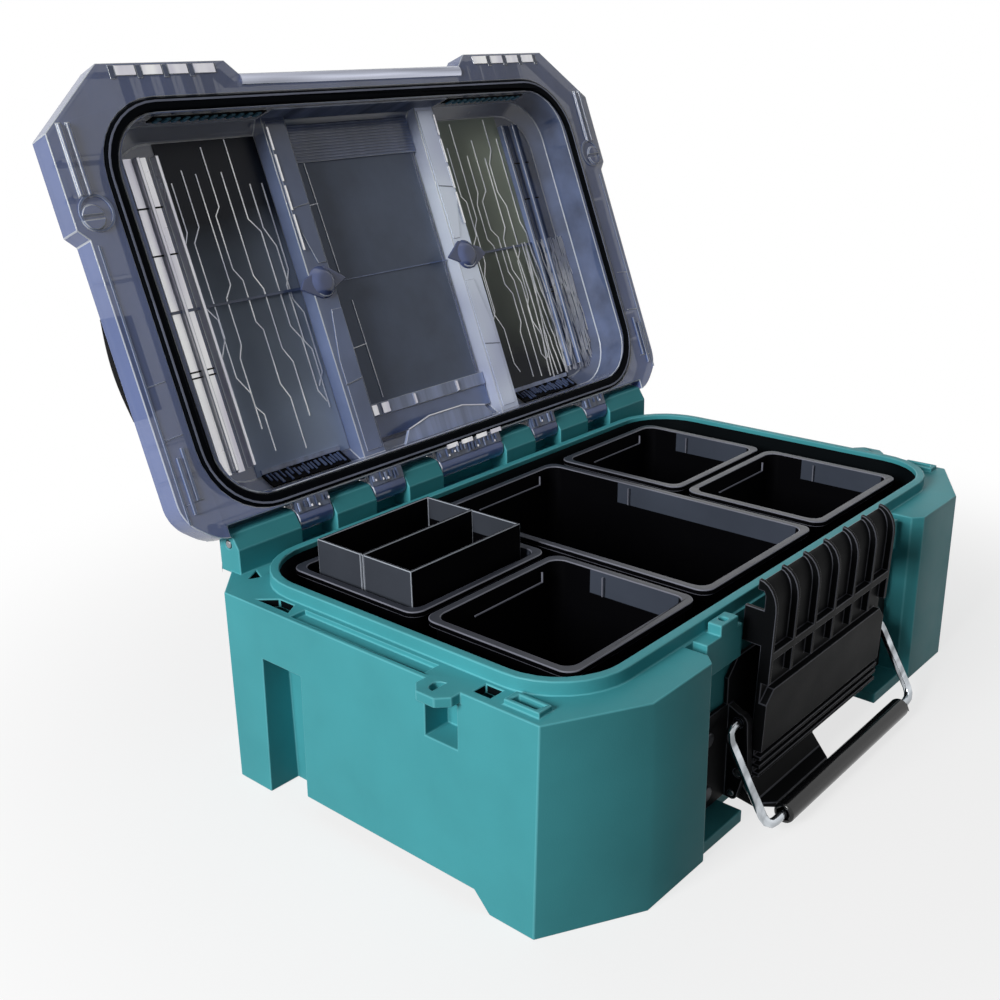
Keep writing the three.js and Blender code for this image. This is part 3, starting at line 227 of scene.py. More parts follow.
tints = {
    "teal": (72, 160, 168),
    # painted highlight along the teal body's softened edges
    "tealEdge": (90, 176, 184),
    # painted shade: near black for the deep basin and the flange's holes
    "basin": (7, 12, 15),
    "black": (9, 10, 12),
    # painted highlight along black softened edges
    "blackEdge": (78, 80, 88),
    "grip": (9, 10, 12),
    "bin": (5, 5, 7),
    # painted highlight along the bins' softened edges and their ledge lines
    "binEdge": (118, 120, 132),
    # painted highlight on the bins' rim tops
    "binRim": (48, 51, 60),
    # painted light on the inner right walls of the bins, where the lamp reaches
    "binBand": (64, 70, 82),
    # painted light on the tray's faces turned to the lamp; the tray is black elsewhere
    "tray": (60, 64, 72),
    # painted highlight along the tray's softened edges
    "trayEdge": (160, 166, 176),
    "seal": (5, 7, 11),
    # painted highlight along the black seal's ridge
    "sealLine": (132, 138, 160),
    "lid": (106, 128, 190),
    # painted highlight along the lid's softened edges
    "lidEdge": (214, 222, 250),
    "lidWall": (94, 109, 146),
    "beam": (130, 148, 192),
    # painted highlight: the right beam paler than the left
    "beamPale": (206, 214, 250),
    "boss": (100, 115, 165),
    # painted highlight: near white for the clear edges, slots and dashes that catch the light
    "strip": (244, 242, 255),
    # painted highlight: near white for the moulded flow lines
    "thread": (232, 236, 250),
    "slat": (92, 142, 164),
    "ledge": (164, 178, 214),
    "knuckle": (110, 124, 156),
    # pale, with strong streaks: painted reflection bands on the clear lip bar
    "lip": (190, 194, 210),
    "frost": (96, 107, 128),
    "paneLeft": (14, 20, 32),
    # painted reflections: the pale and warm tints the panes change into
    "panePale": (196, 212, 236),
    "paneRight": (200, 210, 192),
    # its strong streaks are painted dark reflection lines
    "chrome": (176, 181, 186),
    "steel": (150, 152, 155),
    "screw": (58, 60, 64),
}

# each finish: how it is made, its material's name, then the values named above its group
finishes = {
    # roughness, grain scale, grain strength, mottling, shine
    "teal": (mouldedPlastic, "tealPlastic", 0.48, 1600, 0.22, 0.06, 0.14),
    "tealEdge": (mouldedPlastic, "tealEdge", 0.4, 1600, 0.1, 0.08, 0.2),
    "basin": (mouldedPlastic, "basinPlastic", 0.55, 1600, 0.2, 0.1, 0.06),
    "black": (mouldedPlastic, "blackPlastic", 0.5, 1800, 0.25, 0.12, 0.06),
    "blackEdge": (mouldedPlastic, "blackEdge", 0.4, 1800, 0.1, 0.2, 0.2),
    "grip": (mouldedPlastic, "gripGloss", 0.16, 500, 0.1, 0.2, 0.5),
    "bin": (mouldedPlastic, "binPlastic", 0.5, 1400, 0.2, 0.1, 0.03),
    "binEdge": (mouldedPlastic, "binEdge", 0.38, 1400, 0.1, 0.15),
    "binRim": (mouldedPlastic, "binRim", 0.4, 1400, 0.15, 0.15),
    "binBand": (mouldedPlastic, "binBand", 0.45, 1400, 0.2, 0.12, 0.1),
    "tray": (mouldedPlastic, "trayPlastic", 0.5, 1400, 0.3, 0.14, 0.08),
    "trayEdge": (mouldedPlastic, "trayEdge", 0.4, 1400, 0.1, 0.15),
    "seal": (mouldedPlastic, "sealRubber", 0.6, 900, 0.4, 0.1, 0.02),
    "sealLine": (mouldedPlastic, "sealLine", 0.3, 900, 0.1, 0.3),
    "slat": (mouldedPlastic, "lidSlat", 0.3, 600, 0.1, 0.4, 0.15),
    "frost": (mouldedPlastic, "frostedPlate", 0.34, 700, 0.3, 0.22),
    # alpha, roughness, mottling, stretch of the flow marks, share of the tint that is left at the top
    "lid": (clearPlastic, "lidClear", 0.76),
    "lidEdge": (clearPlastic, "lidEdge", 0.9),
    "lidWall": (clearPlastic, "lidWall", 0.86, 0.2, 0.4, (0.3, 2.5, 2.5)),
    "beam": (clearPlastic, "lidBeam", 0.9, 0.18, 0.34, (1, 0.25, 1)),
    "boss": (clearPlastic, "lidBoss", 0.92, 0.16, 0.35, (1, 1, 1)),
    "ledge": (clearPlastic, "lidLedge", 0.95, 0.2, 0.4, (6, 0.5, 0.5)),
    "knuckle": (clearPlastic, "lidKnuckle", 0.9, 0.2, 0.6, (9, 1.5, 1.5), 1.0),
    # tint at the hinge edge, alpha
    "paneLeft": (smokyPaneWithPaintedReflection, "paneLeft", "panePale", 0.95),
    "paneRight": (smokyPaneWithPaintedReflection, "paneRight", "paneLeft", 0.92),
    # least and greatest roughness, scale and stretch of the streaks, contrast, share of metal
    "beamPale": (metal, "lidBeamPale", 0.3, 0.5, 14, (1, 0.3, 1), 0.3, 0.35),
    "lip": (metal, "lipBar", 0.08, 0.2, 20, (0.3, 9, 9), 0.45, 0.8),
    "strip": (metal, "lidStrip", 0.2, 0.4, 26, (3, 0.5, 0.5), 0.25, 0.6),
    "thread": (metal, "lidThread", 0.3, 0.5, 40, (1, 1, 1), 0.3, 0.5),
    "chrome": (metal, "bailChrome", 0.06, 0.16, 90, (0.2, 3, 1), 0.45),
    "steel": (metal, "pinSteel", 0.25, 0.4, 300, (0.1, 1, 1)),
    "screw": (metal, "bracketScrew", 0.35, 0.5, 300, (1, 1, 1)),
}
materials = {key: make(name, srgb(*tints[key]), *values) for key, (make, name, *values) in finishes.items()}
print("materials made")


# mesh helpers; detail shapes are drawn in millimetres

meshCare = {"mergeWithin": 0.00002, "flatWithin": 0.6, "softenFrom": 30, "sharpFrom": 38, "steps": 2}
planSize = {"width": 400, "depth": 250}
facing = 0.9  # a face looks a way when its normal leans more than this towards it


def placed(name, data):
    thing = bpy.data.objects.new(name, data)
    bpy.context.scene.collection.objects.link(thing)
    return thing


def plainMesh(holder, name):
    # the evaluated mesh of an object with modifiers; the object itself is deleted
    bpy.context.view_layer.update()
    graph = bpy.context.evaluated_depsgraph_get()
    mesh = bpy.data.meshes.new_from_object(holder.evaluated_get(graph))
    mesh.name = name
    bpy.data.objects.remove(holder)
    return mesh


def finishPiece(mesh, name, body, place):
    # moves a mesh to its rest place, shades it and puts it on its body
    mesh.transform(place)
    mesh.polygons.foreach_set("use_smooth", [True] * len(mesh.polygons))
    mesh.set_sharp_from_angle(angle=math.radians(meshCare["sharpFrom"]))
    holder = placed(name + "_shading", mesh)
    weight = holder.modifiers.new("flats", "WEIGHTED_NORMAL")  # flats stay flat beside soft edges
    weight.keep_sharp = True
    piece = placed(name, plainMesh(holder, name))
    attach(piece, body)
    return piece


def bevelled(mesh, name, width, segments, edgeSlot):
    holder = placed(name, mesh)
    bevel = holder.modifiers.new("edges", "BEVEL")
    bevel.width = width
    bevel.segments = segments
    bevel.limit_method = "ANGLE"
    bevel.angle_limit = math.radians(meshCare["softenFrom"])
    bevel.use_clamp_overlap = False
    bevel.material = edgeSlot
    return plainMesh(holder, name)


def paintedMesh(shape, name, mats):
    mesh = bpy.data.meshes.new(name)
    shape.to_mesh(mesh)
    shape.free()
    for key in mats:
        mesh.materials.append(materials[key])
    return mesh


def mergedCopy(nodeName, place, cuts, reshape):
    # a clean copy of a node in its unturned place: doubles merged, flats joined and cut into plain pieces
    cad = bmesh.new()
    cad.from_mesh(nodes[nodeName].data)
    cad.transform(place.inverted())
    bmesh.ops.remove_doubles(cad, verts=cad.verts, dist=meshCare["mergeWithin"])
    flat = math.radians(meshCare["flatWithin"])
    bmesh.ops.dissolve_limit(cad, angle_limit=flat, verts=cad.verts, edges=cad.edges)
    if reshape:
        reshape(cad)
    for axis, distance in cuts:
        normal = Vector([float(i == axis) for i in range(3)])
        everything = cad.verts[:] + cad.edges[:] + cad.faces[:]
        bmesh.ops.bisect_plane(cad, geom=everything, plane_co=normal * distance, plane_no=normal)
    manySided = [face for face in cad.faces if len(face.verts) > 4]
    bmesh.ops.triangulate(cad, faces=manySided, quad_method="BEAUTY", ngon_method="EAR_CLIP")
    return cad


def dressNode(nodeName, body, slotName, mats, width, place=standing, chooser=None,
              segments=meshCare["steps"], cuts=(), reshape=None):
    # the node's own shape with softened edges; the last material goes on the softened edges, and where it is
    # a lighter edge tint it is a painted highlight
    cad = mergedCopy(nodeName, place, cuts, reshape)
    for face in cad.faces:
        face.material_index = mats.index(chooser(face)) if chooser else 0
    name = nodeName + "_dressed"
    soft = bevelled(paintedMesh(cad, nodeName + "_raw", mats), name, width, segments, len(mats) - 1)
    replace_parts(finishPiece(soft, name, body, place), nodeName)


def addPlanMap(mesh):
    # a uv map that holds the share of the lid's width and depth at each corner
    layer = mesh.uv_layers.new(name="plan")
    for loop in mesh.loops:
        x, y, z = mesh.vertices[loop.vertex_index].co
        layer.data[loop.index].uv = (x / planSize["width"] + 0.5, y / planSize["depth"] + 0.5)


def shapePiece(shape, name, body, mats, place=standing, width=None):
    # a shape drawn in millimetres as a finished piece; its edges are softened if a width is given
    mesh = paintedMesh(shape, name, mats)
    if width:
        mesh = bevelled(mesh, name, width, meshCare["steps"], len(mats) - 1)
    addPlanMap(mesh)
    return finishPiece(mesh, name, body, place @ millimetres)


def lidPiece(shape, name, mats, width=None):
    # a detail of the clear lid, drawn where it lies when the lid is closed
    shapePiece(shape, name, "lid", mats, lidOpen, width)


def addBlock(shape, low, high, materialIndex=0):
    verts = [shape.verts.new(corner) for corner in itertools.product(*zip(low, high))]
    for loop in ((0, 1, 3, 2), (4, 6, 7, 5), (0, 4, 5, 1), (2, 3, 7, 6), (0, 2, 6, 4), (1, 5, 7, 3)):
        face = shape.faces.new([verts[i] for i in loop])
        face.material_index = materialIndex


def turnOutwards(shape, faces, materialIndex):
    for face in faces:
        face.material_index = materialIndex
    bmesh.ops.recalc_face_normals(shape, faces=faces)


def addShell(shape, rings, materialIndex=0):
    # rings of corners, one after the other, joined by walls and closed at both ends
    faces = [shape.faces.new(rings[0]), shape.faces.new(list(reversed(rings[-1])))]
    for lower, upper in zip(rings, rings[1:]):
        for i in range(len(lower)):
            j = (i + 1) % len(lower)
            faces.append(shape.faces.new([lower[j], lower[i], upper[i], upper[j]]))
    turnOutwards(shape, faces, materialIndex)


def addPrism(shape, outline, direction, materialIndex=0):
    # an outline of points swept along a direction
    near = [shape.verts.new(Vector(point)) for point in outline]
    far = [shape.verts.new(Vector(point) + Vector(direction)) for point in outline]
    addShell(shape, [near, far], materialIndex)


def addBar(shape, side, span, profile, inset=0, materialIndex=0):
    # a profile of [y, z] points swept along a span in x, which is shorter by the inset at both ends
    start, end = span
    outline = [(side * (start + inset), y, z) for y, z in profile]
    addPrism(shape, outline, (side * (end - start - 2 * inset), 0, 0), materialIndex)


def addBoss(shape, centre, look):
    # a round boss that hangs from its centre, with a shoulder above its narrower end
    turn = Vector((0, 0, -1)).to_track_quat("Z", "Y").to_matrix()
    shoulder = look["shoulder"] * look["endShare"] ** 0.5
    rings = []
    for level, share in ((0, 1), (look["shoulderLevel"], shoulder), (1, look["endShare"] * look["endRound"])):
        ring = []
        for i in range(look["sides"]):
            angle = 2 * math.pi * i / look["sides"]
            spoke = Vector((math.cos(angle), math.sin(angle), 0)) * look["radius"] * share
            spoke.z = look["height"] * level
            ring.append(shape.verts.new(Vector(centre) + turn @ spoke))
        rings.append(ring)
    addShell(shape, rings)


def addRibbon(shape, path, width, low, high, materialIndex=0, closed=False):
    # a flat strip of one width along a path of [x, y] points, from low to high in z
    points = [Vector(point) for point in path]
    count = len(points)
    rails = []
    for i, point in enumerate(points):
        before = points[i - 1] if i > 0 or closed else point
        after = points[(i + 1) % count] if i < count - 1 or closed else point
        along = (after - before).normalized()
        sideways = Vector((-along.y, along.x)) * width / 2
        left, right = point + sideways, point - sideways
        rails.append([shape.verts.new((*place, z)) for place, z in
                      ((left, low), (right, low), (right, high), (left, high))])
    faces = []
    for i in range(count if closed else count - 1):
        start, end = rails[i], rails[(i + 1) % count]
        for a in range(4):
            b = (a + 1) % 4
            faces.append(shape.faces.new([start[a], start[b], end[b], end[a]]))
    if not closed:
        faces.append(shape.faces.new(list(reversed(rails[0]))))
        faces.append(shape.faces.new(rails[-1]))
    turnOutwards(shape, faces, materialIndex)


def circle(step):
    return [(math.cos(math.radians(a)), math.sin(math.radians(a))) for a in range(0, 360, step)]


def roundedLoop(halfX, front, rear, radius, steps=10):
    # a rectangle with round corners, as a closed path
    loop = []
    corners = ((halfX - radius, front + radius, -90), (halfX - radius, rear - radius, 0),
               (radius - halfX, rear - radius, 90), (radius - halfX, front + radius, 180))
    for x, y, start in corners:
        for step in range(steps + 1):
            angle = math.radians(start + 90 * step / steps)
            loop.append((x + radius * math.cos(angle), y + radius * math.sin(angle)))
    return loop


bothSides = ((-1, "left"), (1, "right"))


def across(side, inner, outer):
    return sorted((side * inner, side * outer))


# rows of equal bars on the lid, by geometry nodes

def barRowTree(material):
    tree = bpy.data.node_groups.new("barRow", "GeometryNodeTree")
    for label, kind in (("start", "Vector"), ("step", "Vector"), ("count", "Int"), ("bar", "Vector")):
        tree.interface.new_socket(label, in_out="INPUT", socket_type="NodeSocket" + kind)
    tree.interface.new_socket("Mesh", in_out="OUTPUT", socket_type="NodeSocketGeometry")
    row = addNode(tree, "NodeGroupInput").outputs
    line = addNode(tree, "GeometryNodeMeshLine", Start_Location=row["start"], Offset=row["step"],
                   Count=row["count"]).outputs["Mesh"]
    bar = addNode(tree, "GeometryNodeMeshCube", Size=row["bar"]).outputs["Mesh"]
    copies = addNode(tree, "GeometryNodeInstanceOnPoints", Points=line, Instance=bar).outputs["Instances"]
    real = addNode(tree, "GeometryNodeRealizeInstances", Geometry=copies).outputs["Geometry"]
    paint = addNode(tree, "GeometryNodeSetMaterial", Geometry=real, Material=material)
    addNode(tree, "NodeGroupOutput", Mesh=paint.outputs["Geometry"])
    return tree


def barRow(name, materialKey, row):
    # start, step, count and bar come from the row's dictionary, in millimetres
    tree = barRowTree(materials[materialKey])
    holder = placed(name, bpy.data.meshes.new(name))
    modifier = holder.modifiers.new("rows", "NODES")
    modifier.node_group = tree
    for item in tree.interface.items_tree:
        if item.in_out == "INPUT":
            modifier[item.identifier] = row[item.name]
    finishPiece(plainMesh(holder, name), name, "lid", lidOpen @ millimetres)


def mirroredRow(row):
    start, step = row["start"], row["step"]
    return {**row, "start": (-start[0], *start[1:]), "step": (-step[0], *step[1:])}


# case body

bodyLook = {
    "edge": 0.0006,
    "basinHalfX": 0.1708, "basinMiddleY": -0.0003, "basinHalfY": 0.0993, "basinRadius": 0.032,
    "basinTopZ": 0.1012, "flangeLowZ": 0.0935, "flangeTopZ": 0.0980,
    "holeHighZ": 0.0961, "holeInnerX": 0.1635, "holeOuterX": 0.1860,
    "leastUp": -0.5, "uprightWithin": 0.3,
}


def insideBead(x, y):
    # whether a point lies inside the raised bead, with its round corners
    radius = bodyLook["basinRadius"]
    besideX = max(0.0, abs(x) - (bodyLook["basinHalfX"] - radius))
    besideY = max(0.0, abs(y - bodyLook["basinMiddleY"]) - (bodyLook["basinHalfY"] - radius))
    return math.hypot(besideX, besideY) < radius


def bodyFace(face):
    # teal outside; nearly black painted shade inside the basin and down the flange's holes, where deep shade
    # falls
    x, y, z = face.calc_center_median()
    up = face.normal.z
    if up > facing and bodyLook["flangeLowZ"] < z < bodyLook["flangeTopZ"]:
        return "teal"
    if insideBead(x, y) and z < bodyLook["basinTopZ"] and up > bodyLook["leastUp"]:
        return "basin"
    inHole = bodyLook["holeInnerX"] < abs(x) < bodyLook["holeOuterX"] and abs(up) < bodyLook["uprightWithin"]
    return "basin" if inHole and bodyLook["flangeLowZ"] < z < bodyLook["holeHighZ"] else "teal"


dressNode("case_body", "base", "teal_plastic", ["teal", "basin", "tealEdge"], bodyLook["edge"],
          chooser=bodyFace, cuts=[(2, bodyLook["basinTopZ"])])
print("case body dressed")


# lid: its own solids, told apart by where they lie when the lid is closed

lidLook = {
    "edge": 0.0005, "sealEdge": 0.0011, "sealSteps": 3, "plateEdge": 0.0003,
    "domeHalfX": 0.1675, "domeFrontY": -0.0975, "domeRearY": 0.0965, "innerFromZ": 0.1072, "wallToZ": 0.1309,
    "beamInnerX": 0.0498, "beamOuterX": 0.0662, "beamFromZ": 0.1170, "beamToZ": 0.1304,
    "ribFromX": 0.1300, "ribToX": 0.1450, "ribReachY": 0.0850,
    "hingeSideY": 0.1040, "cornerFromY": 0.1050, "cornerX": 0.1715, "cornerReach": 0.6,
    "corners": [(0.1950, 0.0960), (0.1780, 0.1100)], "cornerWithin": 0.0003, "uprightWithin": 0.0001,
    "cornerRound": 0.0080, "cornerSteps": 5,
}


def lidFace(face):
    centre = face.calc_center_median()
    side = abs(centre.x)
    along = lidLook["domeFrontY"] < centre.y < lidLook["domeRearY"]
    if side > lidLook["domeHalfX"] or not along or centre.z < lidLook["innerFromZ"]:
        return "lid"
    deep = lidLook["beamFromZ"] < centre.z < lidLook["beamToZ"]
    # painted light on parts that match: the right beam in the paler tint, the left strip ribs in white
    if deep and lidLook["beamInnerX"] < side < lidLook["beamOuterX"]:
        return "beam" if centre.x < 0 else "beamPale"
    if deep and lidLook["ribFromX"] < side < lidLook["ribToX"] and abs(centre.y) < lidLook["ribReachY"]:
        return "strip" if centre.x < 0 else "beam"
    return "lidWall" if centre.z < lidLook["wallToZ"] else "lid"


def roundLidCorners(cad):
    # the corners beside the hinge reach back less far and are round, as seen from above
    hingeSide, near = lidLook["hingeSideY"], lidLook["cornerWithin"]
    for vert in cad.verts:
        if abs(vert.co.x) > lidLook["cornerX"] and vert.co.y > lidLook["cornerFromY"]:
            vert.co.y = hingeSide + (vert.co.y - hingeSide) * lidLook["cornerReach"]
    tall = []
    for edge in cad.edges:
        ends = [vert.co for vert in edge.verts]
        upright = (ends[0].xy - ends[1].xy).length < lidLook["uprightWithin"]
        for x, y in lidLook["corners"]:
            if upright and abs(abs(ends[0].x) - x) < near and abs(ends[0].y - y) < near:
                tall.append(edge)
    bmesh.ops.bevel(cad, geom=tall, offset=lidLook["cornerRound"], segments=lidLook["cornerSteps"],
                    affect="EDGES", profile=0.5)


dressNode("lid_shell", "lid", "smoky_clear", ["lid", "lidWall", "beam", "beamPale", "strip", "lidEdge"],
          lidLook["edge"], lidOpen, lidFace, reshape=roundLidCorners)
dressNode("lid_seal", "lid", "seal_rubber", ["seal"], lidLook["sealEdge"], lidOpen,
          segments=lidLook["sealSteps"])
dressNode("lid_window_plate", "lid", "frosted_plastic", ["frost", "lidEdge"], lidLook["plateEdge"], lidOpen)
print("lid dressed")


# lid: black cleats that sit in the side gutters and swell over their outer walls

cleatLook = {
    "innerX": 184, "gutterX": 192.2, "outerX": 194.8, "gutterLow": 109.3, "wallTop": 119.2,
    "front": -6, "rear": 44, "endGap": 2, "lift": 0.3, "swell": 4.2, "steps": 14, "edge": 0.3,
    "ribs": [8, 19, 29], "ribWidth": 2.4, "ribInner": 1, "ribOuter": 1.5, "ribLow": 2, "ribHigh": 4.2,
}


def makeCleats():
    look = cleatLook
    front, rear, top = look["front"], look["rear"], look["wallTop"]
    for side, name in bothSides:
        shape = bmesh.new()
        left, right = across(side, look["innerX"], look["gutterX"])
        addBlock(shape, (left, front + look["endGap"], look["gutterLow"]),
                 (right, rear - look["endGap"], top + look["lift"]))
        arch = [(front, top), (rear, top)]
        for step in range(look["steps"] + 1):
            share = step / look["steps"]
            z = top + look["lift"] + look["swell"] * math.sin(math.pi * share)
            arch.append((rear + (front - rear) * share, z))
        addBar(shape, side, (look["innerX"], look["outerX"]), arch)
        piece = shapePiece(shape, "cleat_" + name, "lid", ["black"], lidOpen, look["edge"])
        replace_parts(piece, "lid_cleat_" + name)

        ribs = bmesh.new()
        left, right = across(side, look["innerX"] + look["ribInner"], look["outerX"] - look["ribOuter"])
        for y in look["ribs"]:
            addBlock(ribs, (left, y, top + look["ribLow"]),
                     (right, y + look["ribWidth"], top + look["ribHigh"]))
        shapePiece(ribs, "cleat_ribs_" + name, "lid", ["black", "blackEdge"],
                   lidOpen, look["edge"])


makeCleats()


# lid: the seal's fine ridge, its light tint a painted highlight

sealRidge = {
    "halfX": 173.8, "front": -101.8, "rear": 100.8, "radius": 35.3,
    "width": 1.0, "low": 103.95, "high": 104.6,
}


def makeSealRidge():
    shape = bmesh.new()
    loop = roundedLoop(sealRidge["halfX"], sealRidge["front"], sealRidge["rear"], sealRidge["radius"])
    addRibbon(shape, loop, sealRidge["width"], sealRidge["low"], sealRidge["high"], closed=True)
    shapePiece(shape, "seal_ridge", "lid", ["sealLine"], lidOpen)


makeSealRidge()


# lid: window panes under the ceiling, with the flow lines moulded into them

paneLook = {"innerX": 66.6, "outerX": 130.4, "front": -88.5, "rear": 87.5, "low": 129.6, "high": 130.3}
lineLook = {
    "count": 8, "width": 0.6, "low": 129.2, "high": 129.7, "margin": 1, "seed": 7,
    "startGap": (0, 26), "endGap": (2, 26), "straight": (18, 34), "shortest": 14,
    "kink": 5.0, "kinkShare": 0.75, "kinkSize": (0.6, 1.2), "kinkSlope": (1.0, 2.2), "kinkGap": 12,
}


def kinkedPath(x, front, rear, dice):
    # a line from front to rear that steps sideways now and then
    path = [(x, front)]
    y = front
    while y < rear - lineLook["shortest"]:
        y += dice.uniform(*lineLook["straight"])
        path.append((x, min(y, rear)))
        if y < rear - lineLook["kinkGap"] and dice.random() < lineLook["kinkShare"]:
            shift = dice.choice((-1, 1)) * lineLook["kink"] * dice.uniform(*lineLook["kinkSize"])
            x += shift
            y += abs(shift) * dice.uniform(*lineLook["kinkSlope"])
            path.append((x, min(y, rear)))
    return path


def makePanes():
    for side, name in bothSides:
        left, right = across(side, paneLook["innerX"], paneLook["outerX"])
        shape = bmesh.new()
        addBlock(shape, (left, paneLook["front"], paneLook["low"]),
                 (right, paneLook["rear"], paneLook["high"]))
        lidPiece(shape, "pane_" + name, ["pane" + name.title()])

        dice = random.Random(lineLook["seed"] + side)
        lines = bmesh.new()
        pitch = (right - left) / lineLook["count"]
        least, most = left + lineLook["margin"], right - lineLook["margin"]
        for i in range(lineLook["count"]):
            front = paneLook["front"] + dice.uniform(*lineLook["startGap"])
            rear = paneLook["rear"] - dice.uniform(*lineLook["endGap"])
            path = kinkedPath(left + pitch * (i + 0.5), front, rear, dice)
            path = [(max(least, min(most, x)), y) for x, y in path]
            addRibbon(lines, path, lineLook["width"], lineLook["low"], lineLook["high"])
        lidPiece(lines, "flow_lines_" + name, ["thread"])


makePanes()


# lid: bright stepped strips beside the strip ribs, and the dense threads near the right end wall

stripLook = {
    "bars": [(137.0, 141.2), (145.4, 150.2)],
    "front": -82, "rear": 82, "low": 128.9, "high": 130.4,
    "marks": [-57, -33, 27, 30], "markWidth": 0.8, "markReach": 1, "markHalf": 0.3,
}
threadLook = {
    "fromX": 112, "toX": 163, "limitX": 164.5, "count": 40, "bunching": 0.6, "width": 0.5,
    "low": 127.6, "high": 128.2, "front": -4, "rear": 84, "tailShare": 0.3, "tailLength": 22,
    "steps": 14, "jitterX": 0.5, "jitterY": 1, "sway": 3, "swayLength": 24, "seed": 21,
}


def makeStrips():
    reach, low, half = stripLook["markReach"], stripLook["low"], stripLook["markHalf"]
    for side, name in bothSides:
        shape = bmesh.new()
        for inner, outer in stripLook["bars"]:
            left, right = across(side, inner, outer)
            addBlock(shape, (left, stripLook["front"], low), (right, stripLook["rear"], stripLook["high"]))
            for y in stripLook["marks"]:
                end = y + stripLook["markWidth"]
                addBlock(shape, (left - reach, y, low - half), (right + reach, end, low + half), 1)
        # painted highlight: the left strips white, the right ones in the wall tint
        lidPiece(shape, "stepped_strips_" + name, ["strip" if side < 0 else "lidWall", "black"])


def makeThreads():
    look = threadLook
    dice = random.Random(look["seed"])
    threads = bmesh.new()
    for i in range(look["count"]):
        share = i / (look["count"] - 1)
        middle = look["fromX"] + (look["toX"] - look["fromX"]) * share ** look["bunching"]
        tail = max(0.0, share - (1 - look["tailShare"])) / look["tailShare"]
        length = look["rear"] - look["tailLength"] * tail - look["front"]
        path = []
        for step in range(look["steps"] + 1):
            y = look["front"] + dice.uniform(-look["jitterY"], look["jitterY"])
            y += length * step / look["steps"]
            x = middle + dice.uniform(-look["jitterX"], look["jitterX"])
            path.append((min(look["limitX"], x + look["sway"] * math.sin(y / look["swayLength"] + i)), y))
        addRibbon(threads, path, look["width"], look["low"], look["high"])
    lidPiece(threads, "threads_right", ["thread"])


makeStrips()
makeThreads()


# lid: seam across the ceiling, with the bosses where it meets the beams

seamLook = {
    "y": -3.5, "innerX": 66.5, "outerX": 165, "width": 1.5, "low": 128.4, "high": 130.2,
    "fineHalfX": 49, "fineHalfY": 0.3, "fineLow": 128.2, "fineHigh": 128.7,
}
bossLook = {
    "x": 58, "base": 120.2, "radius": 9.5, "height": 4.2, "sides": 24, "edge": 0.9,
    "shoulderLevel": 0.7, "shoulder": 0.97, "endShare": 0.45, "endRound": 0.85,
    "diamond": [(-17, 0), (-4, -9), (13, -3), (17, 2), (3, 9)], "diamondLift": 1.4, "diamondDepth": 1.6,
}


def makeSeam():
    y, half, fine = seamLook["y"], seamLook["width"] / 2, seamLook["fineHalfY"]
    shape = bmesh.new()
    bosses = bmesh.new()
    for side in (-1, 1):
        left, right = across(side, seamLook["innerX"], seamLook["outerX"])
        addBlock(shape, (left, y - half, seamLook["low"]), (right, y + half, seamLook["high"]))
        low = bossLook["base"] - bossLook["diamondLift"]
        outline = [(side * (bossLook["x"] + dx), y + dy, low) for dx, dy in bossLook["diamond"]]
        addPrism(bosses, outline, (0, 0, bossLook["diamondDepth"]))
        addBoss(bosses, (side * bossLook["x"], y, bossLook["base"]), bossLook)
    reach = seamLook["fineHalfX"]
    addBlock(shape, (-reach, y - fine, seamLook["fineLow"]), (reach, y + fine, seamLook["fineHigh"]), 1)
    lidPiece(shape, "seam_bar", ["lidWall", "beam"])
    lidPiece(bosses, "beam_bosses", ["boss"], bossLook["edge"])


makeSeam()


# lid: wedges, dashes and cross lines on the beams

beamLook = {
    "low": 119.4, "high": 120.1, "edge": 0.25, "sink": 0.1,
    "wedge": [(51, -93), (64.6, -93), (64.6, -40), (57, -14), (51.4, -14)],
    "spine": [(50.6, 12), (58, 12), (63, 40), (63, 92), (52, 92)],
    "dashX": 64.2, "dashWidth": 1.7, "dashDepth": 0.5,
    "dashes": [(-90, -77), (-75, -60), (-58, -44), (-42, -22)],
    "crossYs": [-47, 52], "crossFromX": 51, "crossToX": 64.4, "crossRise": 2, "crossWidth": 0.7,
    "crossDepth": 0.3,
}


def makeBeamFacets():
    look = beamLook
    low, top = look["low"], look["low"] + look["sink"]
    # painted highlight: the right beam's facets in the paler tint
    for (side, name), tone in zip(bothSides, ("beam", "beamPale")):
        shape = bmesh.new()
        for key in ("wedge", "spine"):
            addPrism(shape, [(side * x, y, low) for x, y in look[key]], (0, 0, look["high"] - low))
        for ends in look["dashes"]:
            path = [(side * look["dashX"], y) for y in ends]
            addRibbon(shape, path, look["dashWidth"], low - look["dashDepth"], top, 1)
        for y in look["crossYs"]:
            path = [(side * look["crossFromX"], y), (side * look["crossToX"], y + look["crossRise"])]
            addRibbon(shape, path, look["crossWidth"], low - look["crossDepth"], top, 2)
        lidPiece(shape, "beam_facets_" + name, [tone, "strip", "lidWall", "lidEdge"], look["edge"])


makeBeamFacets()


# lid: ledges at both ends of the frosted plate, lines on it, and the arched plate by the hinge

